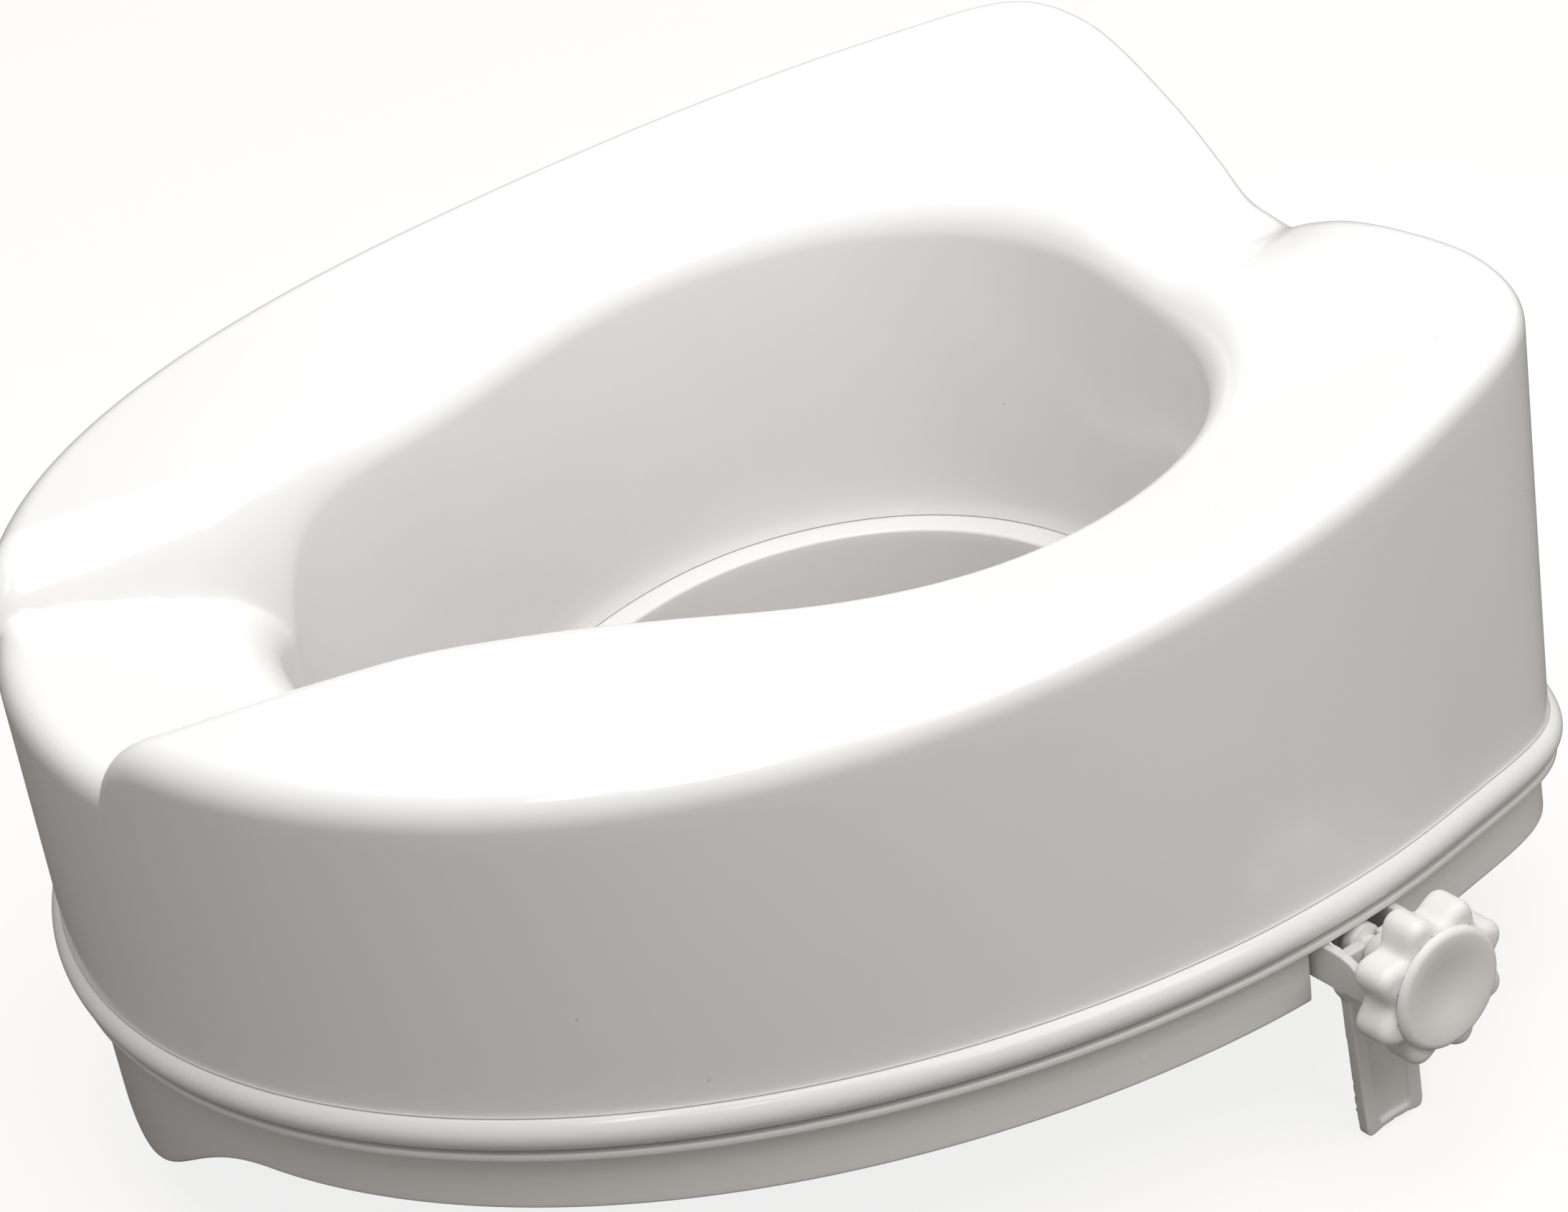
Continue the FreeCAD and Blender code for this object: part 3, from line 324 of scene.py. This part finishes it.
# -------------------------------------------------------------- seat shell
def shell_points(angle):
    cut = Sections(angle)
    add, line = cut.add, cut.line
    outer, out_st = cut.outer, cut.outer_stretch
    opening, in_st = cut.opening, cut.opening_stretch
    wall_foot = outer - FOOT_INSET * out_st
    wall_top = outer - mirrored_curve(TOP_INSET, folded(angle) / TOP_INSET_STEP) * out_st
    opening_foot = opening - OPENING_TAPER * in_st

    def height(r, grow=0.0):
        outward = np.clip((r - opening) / (wall_top - opening), 0, 1)
        return top_height(r * cut.sin, r * cut.cos, outward, grow)

    # bead, from underneath
    bead = outer - BEAD_RADIUS * out_st
    add(bead - 0.9 * out_st, SHELL_BOTTOM + 0.35)
    add(bead - 0.3 * out_st, SHELL_BOTTOM + 0.12)
    cut.arc(bead, BEAD_HEIGHT, BEAD_RADIUS, out_st, np.linspace(-82, 70, 22))
    # small cove between bead and wall
    for out, up in ((0.85, 4.85), (0.5, 5.05), (0.24, 5.4), (0.08, 5.9), (0.02, 6.5)):
        add(wall_foot + out * out_st * 0.55, BEAD_HEIGHT + up)
    line(evenly(14)[:-1], (wall_foot, BEAD_HEIGHT + 7.2),
         (wall_top, height(wall_top) - RIM_RADIUS))
    # outer rounding, laid on the sloping top
    for f in evenly(20):
        a = np.pi / 2 * f
        r = wall_top - RIM_RADIUS * out_st * (1 - np.cos(a))
        add(r, height(r) - RIM_RADIUS * (1 - np.sin(a)))
    top_outer = wall_top - RIM_RADIUS * out_st
    top_inner = opening + OPENING_RADIUS * in_st
    for f in evenly(44)[1:-1]:
        r = top_outer + (top_inner - top_outer) * f
        add(r, height(r))
    # rounding into the opening
    for f in evenly(22):
        a = np.pi / 2 * (1 - f)
        r = opening + OPENING_RADIUS * in_st * (1 - np.cos(a))
        add(r, height(r) - OPENING_RADIUS * (1 - np.sin(a)))
    lip = SHELL_BOTTOM - 0.42
    line(evenly(16)[1:], (opening, height(opening) - OPENING_RADIUS), (opening_foot, lip + 0.5))
    cut.arc(opening_foot + 0.4 * in_st, lip + 0.5, 0.4, in_st, [200, 225, 250, 270])
    add(opening_foot + (SHELL_WALL - 0.5) * in_st, SHELL_BOTTOM + 0.3)

    # inner skin, from the opening back to the outer wall
    foot = SHELL_BOTTOM + 0.9
    skin_foot = opening_foot + SHELL_WALL * in_st
    skin = opening + SHELL_WALL * in_st
    add(skin_foot, foot)
    line(evenly(8)[1:], (skin_foot, foot), (skin, height(skin, INNER_GROW) - OPENING_RADIUS))
    rounding = OPENING_RADIUS - SHELL_WALL
    for f in evenly(8)[1:]:
        a = np.pi / 2 * f
        r = skin + rounding * in_st * (1 - np.cos(a))
        add(r, height(r, INNER_GROW) - SHELL_WALL - rounding * (1 - np.sin(a)))
    for f in evenly(16)[1:-1]:
        r = top_inner + (top_outer - top_inner) * f
        add(r, height(r, INNER_GROW) - SHELL_WALL)
    skin = wall_top - SHELL_WALL * out_st
    rounding = RIM_RADIUS - SHELL_WALL
    for f in evenly(8):
        a = np.pi / 2 * (1 - f)
        r = skin - rounding * out_st * (1 - np.cos(a))
        add(r, height(r, INNER_GROW) - SHELL_WALL - rounding * (1 - np.sin(a)))
    line(evenly(9)[1:], (skin, height(skin, INNER_GROW) - RIM_RADIUS),
         (wall_foot - SHELL_WALL * out_st, foot))
    add(wall_foot - (SHELL_WALL - 0.4) * out_st, SHELL_BOTTOM + 0.35)
    return cut.points()


shell = closed_grid("seat_shell_moulding", shell_points(section_angles()))
register(shell, "seat_shell", "shell_plastic", "seat")


# --------------------------------------------------------------- base ring
def skirt_bottom(x, y):
    """Lower edge of the skirt: a lobe at the front and a notch for each clamp."""
    lobe = 0.5 + 0.5 * np.cos(np.pi * np.clip(x / LOBE_HALF_WIDTH, -1, 1))
    lobe = LOBE_DEPTH * lobe * (np.abs(x) < LOBE_HALF_WIDTH)
    bottom = np.where(y < 0, SKIRT_BOTTOM - lobe, SKIRT_BOTTOM)
    along = -(np.abs(x) - CLAMP_X) * CLAMP_OUT_Y + (y - CLAMP_Y) * CLAMP_OUT_X
    notch = np.clip((NOTCH_HALF_WIDTH + 0.6 - np.abs(along)) / 1.2, 0, 1)
    notch = np.where(y > 0, notch, 0)
    return bottom + (NOTCH_TOP - bottom) * smooth(notch)


def base_points(angle):
    cut = Sections(angle)
    add, line, arc = cut.add, cut.line, cut.arc
    out_st, in_st = cut.outer_stretch, cut.opening_stretch
    skirt = cut.outer - SKIRT_INSET * out_st
    flange = cut.outer - FLANGE_INSET * out_st
    bottom = skirt_bottom(skirt * cut.sin, skirt * cut.cos)

    # flange edge
    add(flange - 0.8 * out_st, FLANGE_TOP)
    arc(flange - 0.5 * out_st, FLANGE_TOP - 0.5, 0.5, out_st, [75, 45, 15])
    arc(flange - 0.5 * out_st, FLANGE_UNDER + 0.5, 0.5, out_st, [-15, -45, -75])
    add(flange - 1.2 * out_st, FLANGE_UNDER)
    add(skirt + 1.0 * out_st, FLANGE_UNDER)
    arc(skirt + 0.8 * out_st, FLANGE_UNDER - 0.8, 0.8, out_st, [110, 135, 160])
    # skirt: down the outside, round the lower edge, up the inside
    skirt_top = FLANGE_UNDER - 0.9
    line(evenly(22)[:-1], (skirt, skirt_top),
         (skirt, np.minimum(bottom + SKIRT_ROUND, skirt_top - 0.02)))
    foot = np.minimum(bottom + SKIRT_ROUND, skirt_top)
    rounding = np.minimum(1.0, np.maximum(0.02, (skirt_top - bottom) * 0.4))
    for a in np.radians([0, 22, 45, 68, 90]):
        add(skirt - rounding * out_st * (1 - np.cos(a)),
            foot - SKIRT_ROUND * np.sin(a) * rounding)
    for a in np.radians([90, 60, 30, 0]):
        add(skirt - (SKIRT_WALL - 0.9 * rounding * (1 - np.cos(a))) * out_st,
            foot - SKIRT_ROUND * np.sin(a) * rounding)
    skirt_inner = skirt - SKIRT_WALL * out_st
    line(evenly(8)[1:], (skirt_inner, foot), (skirt_inner, FLANGE_UNDER))
    # underside of the plate
    collar = cut.opening - (COLLAR_GAP + OPENING_TAPER) * in_st
    line(evenly(8)[1:-1], (skirt_inner, FLANGE_UNDER), (collar + 0.4 * in_st, FLANGE_UNDER))
    add(collar + 0.4 * in_st, FLANGE_UNDER)
    # collar round the opening
    collar_foot = COLLAR_BOTTOM + 1.0
    collar_inner = collar - COLLAR_WALL * in_st
    add(collar, FLANGE_UNDER - 0.4)
    line(evenly(14)[1:], (collar, FLANGE_UNDER - 0.4), (collar, collar_foot))
    arc(collar - in_st, collar_foot, 1.0, in_st, [-30, -60, -90])
    arc(collar_inner + in_st, collar_foot, 1.0, in_st, [270, 240, 210])
    line(evenly(16), (collar_inner, collar_foot), (collar_inner, FLANGE_TOP - 1.1))
    top_start = collar_inner + 1.1 * in_st
    arc(top_start, FLANGE_TOP - 1.1, 1.1, in_st, [158, 135, 112, 90])
    line(evenly(14)[1:-1], (top_start, FLANGE_TOP), (flange - 0.8 * out_st, FLANGE_TOP))
    return cut.points()


def notch_angles():
    """Extra angles, close together at both edges of each clamp notch."""
    angles = []
    for _, sign in SIDES:
        for edge in (-NOTCH_HALF_WIDTH, NOTCH_HALF_WIDTH):
            for offset in np.linspace(-0.8, 0.8, 9):
                x = CLAMP_X - CLAMP_OUT_Y * (edge + offset)
                y = CLAMP_Y + CLAMP_OUT_X * (edge + offset)
                angles.append(math.degrees(math.atan2(sign * x, y)) % 360)
    return angles


base = closed_grid("base_ring_moulding", base_points(section_angles(notch_angles())))
register(base, "base_ring", "base_plastic", "seat")


def clamp_matrix(sign):
    out = Vector((sign * CLAMP_OUT_X, CLAMP_OUT_Y, 0))
    along = Vector((-out.y, out.x, 0))
    place = Vector((sign * CLAMP_X + ORIGIN[0], CLAMP_Y + ORIGIN[1], ORIGIN[2])) * MM
    return axes_matrix((out, along, (0, 0, 1)), place)


def rounded_box(size, bevel, matrix, place):
    bm = bmesh.new()
    bmesh.ops.create_cube(bm, size=1.0)
    bmesh.ops.scale(bm, vec=Vector(size) * MM, verts=bm.verts)
    bmesh.ops.bevel(bm, geom=list(bm.edges), offset=bevel * MM, segments=3,
                    affect="EDGES", profile=0.5)
    bm.transform(matrix @ Matrix.Translation(Vector(place) * MM))
    mesh = bpy.data.meshes.new("box")
    bm.to_mesh(mesh)
    bm.free()
    return mesh


def base_fittings():
    """Posts and blocks under the base plate, round the clamps and beside them."""
    boxes = []
    for _, sign in SIDES:
        clamp = clamp_matrix(sign)
        for out in (-32.6, -17.4):
            for along in (-6.3, 6.3):
                boxes.append(rounded_box((3.0, 3.4, 12.9), 0.5, clamp, (out, along, 12.45)))
        for along in (-18.8, 18.8):
            boxes.append(rounded_box((12, 8.4, 12.9), 0.6, clamp, (-28, along, 12.47)))
        # blocks: angle round the seat, distance from the middle, turn
        for angle, radius, turn in ((44.0, 137.0, 42.0), (138.0, 163.0, 131.0)):
            a = math.radians(angle)
            middle = Vector((sign * radius * math.sin(a), radius * math.cos(a), 0))
            block = (Matrix.Translation((middle + Vector(ORIGIN)) * MM)
                     @ Matrix.Rotation(math.radians(-sign * turn), 4, "Z"))
            boxes.append(rounded_box((57, 25, 15.0), 0.8, block, (0, 0, 11.55)))
    bm = bmesh.new()
    for box in boxes:
        bm.from_mesh(box)
        bpy.data.meshes.remove(box)
    mesh = bpy.data.meshes.new("base_fittings")
    bm.to_mesh(mesh)
    bm.free()
    for polygon in mesh.polygons:
        polygon.use_smooth = True
    return link_object("base_fittings", mesh)


register(base_fittings(), "base_ring", "base_plastic", "seat")


# ------------------------------------------------------------- clamp pieces
# Profiles are (distance outwards along the clamp axis, radius about it).
def around(count):
    return np.arange(count) * 2 * np.pi / count


def ring(out, y, z):
    return np.stack([out + 0 * y, y, AXIS_HEIGHT + z], -1)


def turned(profile, count):
    """Profile spun about the clamp axis; a radius may also vary round the axis."""
    phi = around(count)
    return np.stack([ring(out, r * np.cos(phi), r * np.sin(phi)) for out, r in profile], 1)


def wheel_points():
    """Hand wheel with eight lobes, a hub on its inner side and a pocket in its face."""
    lobes, lobe_height, mean_radius = 8, 2.5, 19.6
    back, back_round, face_round = 22.6, 2.6, 3.2
    phi = around(360)
    wave = np.cos(lobes * (phi - math.radians(16.5)))
    wave_slope = -lobes * np.sin(lobes * (phi - math.radians(16.5)))
    r = mean_radius + lobe_height * (0.92 * wave + 0.16 * (1 - wave * wave))
    slope = lobe_height * (0.92 * wave_slope - 0.32 * wave * wave_slope)
    y, z = r * np.cos(phi), r * np.sin(phi)
    tangent_y = slope * np.cos(phi) - r * np.sin(phi)
    tangent_z = slope * np.sin(phi) + r * np.cos(phi)
    length = np.hypot(tangent_y, tangent_z)
    normal_y, normal_z = tangent_z / length, -tangent_y / length

    def circle(out, radius):
        return ring(out, radius * np.cos(phi), radius * np.sin(phi))

    def lobed(out, inset):
        return ring(out, y - inset * normal_y, z - inset * normal_z)

    # hub at the back with a small fillet
    rings = [circle(out, radius) for out, radius in (
        (16.6, BORE_RADIUS), (16.6, 4.6), (16.8, 5.05), (17.2, 5.2),
        (21.8, 5.2), (22.35, 5.42), (back, 6.0))]
    hub_edge, lobe_edge = circle(back, 6.0), lobed(back, back_round)
    rings += [hub_edge + (lobe_edge - hub_edge) * f for f in evenly(8)[1:-1]]
    for a in np.radians(np.linspace(0, 90, 9)):
        rings.append(lobed(back + back_round * (1 - math.cos(a)), back_round * (1 - math.sin(a))))
    rings += [lobed(25.2 + 6.1 * f, 0.0) for f in evenly(7)[1:-1]]
    for a in np.radians(np.linspace(0, 90, 11)):
        rings.append(lobed(WHEEL_FACE - face_round * (1 - math.sin(a)),
                           face_round * (1 - math.cos(a))))
    # pocket and bore
    rings += [circle(out, radius) for out, radius in (
        (WHEEL_FACE, 15.4), (WHEEL_FACE, 15.0), (WHEEL_FACE - 0.2, SEAT_IN_WHEEL),
        (32.5, SEAT_IN_WHEEL), (32.5, 10.0), (32.5, 3.7), (32.3, BORE_RADIUS),
        (24.0, BORE_RADIUS))]
    return np.stack(rings, 1)


def disc_points():
    """Disc in the wheel's pocket, with a rounded edge and a dished face."""
    def arc(out, radius, size, start, end, count):
        return [(out + size * math.cos(a), radius + size * math.sin(a))
                for a in np.radians(np.linspace(start, end, count))]

    dish = 14.3
    profile = [(32.55, 0.0), (32.55, 6.0), (32.55, 14.2), (32.75, 14.6), (33.1, 14.72),
               (34.3, 14.72), (34.55, 14.85), (34.56, 15.4)]
    profile += arc(35.05, 16.22, 0.48, 180, 90, 6)[1:]
    profile += arc(34.6, 14.6, 2.1, 78, 2, 16)
    profile += [(34.75 + 1.95 * ease(r / dish) ** 1.25, r) for r in np.linspace(dish, 0.0, 30)]
    return turned(profile, 160)


def rod_points():
    """Threaded rod with two collars and a plain outer end."""
    count = 120
    turns = around(count) / (2 * np.pi)

    def thread(out):
        saw = np.abs(np.mod(out / THREAD_PITCH - turns, 1.0) * 2 - 1)
        ridge = ease(np.clip((saw - 0.30) / 0.34, 0, 1))
        # the thread fades out at both ends
        fade = min(1.0, max(0.0, (out - THREAD_START) / 2.2), max(0.0, (2.6 - out) / 2.5))
        return THREAD_ROOT + (THREAD_CREST - THREAD_ROOT) * ridge * fade

    profile = [(THREAD_START, 0.0), (THREAD_START, 2.9)]
    profile += [(out, thread(out)) for out in np.arange(-41.6, 2.05, 0.22)]
    profile += [
        (2.3, 3.3), (2.3, 4.9), (2.45, 5.25), (2.9, 5.4), (5.5, 5.4), (5.95, 5.25),
        (6.2, 4.8), (6.2, 3.0), (10.4, 3.0), (10.4, 4.6), (10.6, 5.1), (11.2, 5.4),
        (15.7, 5.4), (16.25, 5.2), (16.5, 4.6), (16.5, 3.4), (28.6, 3.4), (29.0, 3.0),
        (29.0, 1.35), (27.0, 1.3), (27.0, 0.0)]
    return turned(profile, count)


# object, points, node it stands for, material slot
CLAMP_PIECES = (
    ("hand_wheel_body_", wheel_points(), "hand_wheel_", "wheel_plastic"),
    ("hand_wheel_disc_", disc_points(), "hand_wheel_cap_", "wheel_plastic"),
    ("threaded_rod_", rod_points(), "adjuster_screw_", "clamp_plastic"),
)
for side, sign in SIDES:
    clamp = clamp_matrix(sign)
    rotation = np.array(clamp.to_3x3())
    place = np.array(clamp.translation) / MM
    for stem, points, node_stem, slot in CLAMP_PIECES:
        piece = closed_grid(stem + side, points @ rotation.T + place - np.array(ORIGIN))
        register(piece, node_stem + side, slot, "wheel_" + side)

# Soft moulded edges on the pieces carried over: name, voxel size, smoothing passes.
SOFTENED = (
    ("clamp_bracket", 0.34, 5), ("bracket_grip_pad", 0.22, 2), ("screw_nut", 0.30, 4),
    ("clamp_guide", 0.28, 4), ("antislip_pad_rear", 0.28, 2), ("antislip_pad_front", 0.28, 2))
for stem, voxel, passes in SOFTENED:
    for side, _ in SIDES:
        modifiers = frame["nodes"][stem + "_" + side].modifiers
        remesh = modifiers.new("skin", "REMESH")
        remesh.mode = "VOXEL"
        remesh.voxel_size = voxel * MM
        remesh.use_smooth_shade = True
        soften = modifiers.new("soft", "SMOOTH")
        soften.factor = 0.5
        soften.iterations = passes


# ---------------------------------------------------------------- materials
def feed(node, inputs):
    """Set inputs by name or index: a socket is linked, anything else is a value."""
    for key, value in inputs.items():
        if isinstance(value, bpy.types.NodeSocket):
            node.id_data.links.new(value, node.inputs[key])
        else:
            node.inputs[key].default_value = value


def add_node(tree, kind, inputs=None, **settings):
    node = tree.nodes.new(kind)
    for name, value in settings.items():
        setattr(node, name, value)
    feed(node, inputs or {})
    return node


def new_material(name):
    material = bpy.data.materials.new(name)
    material.use_nodes = True
    tree = material.node_tree
    tree.nodes.clear()
    output = tree.nodes.new("ShaderNodeOutputMaterial")
    shader = tree.nodes.new("ShaderNodeBsdfPrincipled")
    feed(output, {0: shader.outputs[0]})
    return material, tree, shader


def object_coords(tree):
    return add_node(tree, "ShaderNodeTexCoord").outputs["Object"]


def noise(tree, coords, scale, detail, roughness):
    return add_node(tree, "ShaderNodeTexNoise", {
        "Vector": coords, "Scale": scale, "Detail": detail,
        "Roughness": roughness}).outputs["Fac"]


def color_ramp(tree, factor, low, high, start=0.0, end=1.0):
    node = add_node(tree, "ShaderNodeValToRGB", {"Fac": factor})
    for stop, position, color in zip(node.color_ramp.elements, (start, end), (low, high)):
        stop.position = position
        stop.color = (*color, 1)
    return node.outputs[0]


def map_range(tree, value, to_min, to_max, from_min=0.0, from_max=1.0):
    return add_node(tree, "ShaderNodeMapRange", {
        "Value": value, "From Min": from_min, "From Max": from_max,
        "To Min": to_min, "To Max": to_max}).outputs[0]


def bump(tree, height, strength, distance, **inputs):
    return add_node(tree, "ShaderNodeBump", {
        "Height": height, "Strength": strength, "Distance": distance, **inputs}).outputs[0]


def math_node(tree, operation, first, second):
    return add_node(tree, "ShaderNodeMath", {0: first, 1: second},
                    operation=operation).outputs[0]


def plastic(name, color, rough, rough_span, subsurface, fine_bump, wave_bump, specks=0.0):
    material, tree, shader = new_material(name)
    coords = object_coords(tree)
    # slow colour drift of a moulded white plastic
    color = np.array(color)
    drift = color_ramp(tree, noise(tree, coords, scale=9.0, detail=3.0, roughness=0.55),
                       low=color * 0.985, high=np.minimum(color * 1.012, 1),
                       start=0.3, end=0.7)
    # sparse tiny specks: the middles of a few cells
    cells = add_node(tree, "ShaderNodeTexVoronoi",
                     {"Vector": coords, "Scale": 75.0, "Randomness": 1.0})
    middle = math_node(tree, "LESS_THAN", cells.outputs["Distance"], 0.028)
    split = add_node(tree, "ShaderNodeSeparateColor", {0: cells.outputs["Color"]})
    chosen = math_node(tree, "GREATER_THAN", split.outputs[0], 0.80)
    spots = math_node(tree, "MULTIPLY", middle, chosen)
    amount = math_node(tree, "MULTIPLY", spots, specks)
    mixed = add_node(tree, "ShaderNodeMix",
                     {0: amount, 6: drift, 7: (0.5, 0.47, 0.43, 1)}, data_type="RGBA")
    # roughness drift: handling haze and faint rub marks
    haze = noise(tree, coords, scale=28.0, detail=6.0, roughness=0.62)
    roughness = map_range(tree, haze, rough, rough + rough_span, from_min=0.35, from_max=0.7)
    # surface: fine tool texture over a slow ripple
    grain = noise(tree, coords, scale=1400.0, detail=2.0, roughness=0.5)
    ripple = noise(tree, coords, scale=42.0, detail=2.0, roughness=0.4)
    fine = bump(tree, grain, strength=fine_bump, distance=0.00005)
    feed(shader, {
        "Base Color": mixed.outputs[2],
        "Roughness": roughness,
        "Normal": bump(tree, ripple, strength=wave_bump, distance=0.0004, Normal=fine),
        "Subsurface Weight": subsurface,
        "Subsurface Radius": (1.0, 0.9, 0.8),
        "Subsurface Scale": 0.004,
        "IOR": 1.5,
        "Coat Weight": 0.0,
        "Coat Roughness": 0.06})
    return material


def rubber(name, color):
    material, tree, shader = new_material(name)
    coords = object_coords(tree)
    color = np.array(color)
    mottle = noise(tree, coords, scale=60.0, detail=6.0, roughness=0.6)
    tone = color_ramp(tree, mottle, low=color * 0.86, high=np.minimum(color * 1.08, 1))
    grain = noise(tree, coords, scale=2200.0, detail=3.0, roughness=0.7)
    feed(shader, {
        "Base Color": tone,
        "Normal": bump(tree, grain, strength=0.5, distance=0.0001),
        "Roughness": map_range(tree, mottle, to_min=0.72, to_max=0.9)})
    return material


def zinc(name):
    material, tree, shader = new_material(name)
    mottle = noise(tree, object_coords(tree), scale=300.0, detail=5.0, roughness=0.6)
    feed(shader, {
        "Base Color": color_ramp(tree, mottle, low=(0.46, 0.47, 0.5), high=(0.68, 0.67, 0.64)),
        "Metallic": 1.0,
        "Roughness": map_range(tree, mottle, to_min=0.24, to_max=0.42),
        "Normal": bump(tree, mottle, strength=0.2, distance=0.00005)})
    return material


def set_material(ob, material):
    ob.data.materials.clear()
    ob.data.materials.append(material)


MATERIALS = {
    "shell_plastic": plastic(
        "shell_gloss_plastic", color=(0.875, 0.868, 0.858), rough=0.13, rough_span=0.07,
        subsurface=0.0, fine_bump=0.05, wave_bump=0.05, specks=0.5),
    "base_plastic": plastic(
        "base_gloss_plastic", color=(0.83, 0.82, 0.805), rough=0.20, rough_span=0.08,
        subsurface=0.0, fine_bump=0.08, wave_bump=0.05, specks=0.4),
    "clamp_plastic": plastic(
        "clamp_satin_plastic", color=(0.83, 0.82, 0.80), rough=0.36, rough_span=0.10,
        subsurface=0.12, fine_bump=0.25, wave_bump=0.06),
    "wheel_plastic": plastic(
        "wheel_satin_plastic", color=(0.86, 0.845, 0.825), rough=0.34, rough_span=0.10,
        subsurface=0.20, fine_bump=0.25, wave_bump=0.06),
    "grip_rubber": rubber("grip_rubber", color=(0.55, 0.54, 0.52)),
    "pad_rubber": rubber("pad_rubber", color=(0.34, 0.335, 0.325)),
    "steel": zinc("zinc_steel"),
}
for ob, slot in made_parts:
    set_material(ob, MATERIALS[slot])
for subpart in frame["record"]["subparts"]:
    ob = frame["nodes"][subpart["node"]]
    if not ob.hide_render:
        set_material(ob, MATERIALS[subpart["material_slot"]])


# ------------------------------------- floor, world, lights, camera (metres)
def add_floor(half_size, gap):
    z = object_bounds()[0].z - gap
    corners = [(x * half_size, y * half_size, z) for x, y in ((-1, -1), (1, -1), (1, 1), (-1, 1))]
    mesh = bpy.data.meshes.new("floor")
    mesh.from_pydata(corners, [], [(0, 1, 2, 3)])
    floor = link_object("floor", mesh)
    floor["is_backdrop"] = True
    material, tree, shader = new_material("floor_pale")
    feed(shader, {"Base Color": (0.18, 0.168, 0.157, 1), "Roughness": 0.9,
                  "Specular IOR Level": 0.0})
    # seen directly, the floor also glows towards white
    path = add_node(tree, "ShaderNodeLightPath")
    glow = add_node(tree, "ShaderNodeEmission", {"Color": (1, 1, 1, 1)})
    feed(glow, {"Strength": math_node(tree, "MULTIPLY", path.outputs["Is Camera Ray"], 0.83)})
    both = add_node(tree, "ShaderNodeAddShader", {0: shader.outputs[0], 1: glow.outputs[0]})
    output = next(node for node in tree.nodes if node.type == "OUTPUT_MATERIAL")
    feed(output, {0: both.outputs[0]})
    set_material(floor, material)


def add_world():
    world = bpy.data.worlds.new("studio")
    bpy.context.scene.world = world
    world.use_nodes = True
    tree = world.node_tree
    tree.nodes.clear()
    output = add_node(tree, "ShaderNodeOutputWorld")
    # light that grows from one side to the other
    room = add_node(tree, "ShaderNodeBackground", {0: (1.0, 0.975, 0.95, 1)})
    coords = add_node(tree, "ShaderNodeTexCoord")
    facing = add_node(tree, "ShaderNodeVectorMath",
                      {0: coords.outputs["Generated"], 1: (0.90, 0.28, 0.0)},
                      operation="DOT_PRODUCT")
    feed(room, {1: map_range(tree, facing.outputs["Value"], to_min=0.22, to_max=0.54,
                             from_min=-1.0, from_max=1.0)})
    # seen directly, the backdrop is plain white
    backdrop = add_node(tree, "ShaderNodeBackground", {0: (1.0, 0.997, 0.993, 1), 1: 0.97})
    path = add_node(tree, "ShaderNodeLightPath")
    mixed = add_node(tree, "ShaderNodeMixShader", {
        0: path.outputs["Is Camera Ray"], 1: room.outputs[0], 2: backdrop.outputs[0]})
    feed(output, {0: mixed.outputs[0]})


def from_middle(x, y, z):
    return (ORIGIN[0] * MM + x, ORIGIN[1] * MM + y, z)


def add_light(name, kind, place, target, power, color):
    light = bpy.data.lights.new(name, kind)
    light.energy = power
    light.color = color
    ob = link_object(name, light)
    ob.location = from_middle(*place)
    turn = (Vector(from_middle(*target)) - ob.location).to_track_quat("-Z", "Y")
    if kind == "AREA":
        ob.rotation_mode = "QUATERNION"
        ob.rotation_quaternion = turn
    else:
        ob.rotation_euler = turn.to_euler()
    return light


def add_area(name, place, target, size, power, color):
    light = add_light(name, "AREA", place, target, power, color)
    light.shape = "RECTANGLE"
    light.size, light.size_y = size


def add_camera():
    azimuth, elevation, roll = map(math.radians, (70.775, 29.231, -10.583))
    distance = 1.18409
    target = Vector((0.00444, -0.03435, 0.0645)) + Vector(ORIGIN) * MM
    camera = bpy.data.cameras.new("camera")
    ob = link_object("camera", camera)
    bpy.context.scene.camera = ob
    back = Vector((math.sin(azimuth) * math.cos(elevation),
                   -math.cos(azimuth) * math.cos(elevation), math.sin(elevation)))
    right = Vector((math.cos(azimuth), math.sin(azimuth), 0))
    up = back.cross(right)
    rolled_right = right * math.cos(roll) + up * math.sin(roll)
    rolled_up = -right * math.sin(roll) + up * math.cos(roll)
    ob.matrix_world = axes_matrix((rolled_right, rolled_up, back), target + back * distance)
    camera.sensor_fit = "HORIZONTAL"
    camera.sensor_width = 36.0
    camera.lens = 99.1905495
    camera.clip_start, camera.clip_end = 0.05, 30.0


add_floor(half_size=6.0, gap=0.0005)
add_world()

COOL, WARM = (0.985, 0.992, 1.0), (1.0, 0.99, 0.97)
add_area("overhead", place=(-0.05, 0.05, 1.55), target=(0, -0.03, 0.14),
         size=(1.5, 1.3), power=15.5, color=COOL)
add_area("side_soft", place=(1.15, 0.35, 1.35), target=(0, 0, 0.1),
         size=(1.0, 0.9), power=8, color=(1.0, 0.985, 0.965))
fill = add_light("opening_fill", "SPOT", place=(0.62, -0.30, 1.08),
                 target=(-0.04, 0.07, 0.14), power=24, color=COOL)
fill.spot_size = math.radians(19)
fill.spot_blend = 1.0
fill.shadow_soft_size = 0.2
for name, place in (("streak_a", (0.55, -0.65, 1.35)), ("streak_b", (-0.50, 0.75, 1.40))):
    add_area(name, place=place, target=(0, 0, 0.14), size=(0.09, 0.4), power=1.3, color=WARM)

add_camera()

view = bpy.context.scene.view_settings
view.view_transform = "Standard"
view.look = "None"
view.exposure = 0.0
view.gamma = 1.0
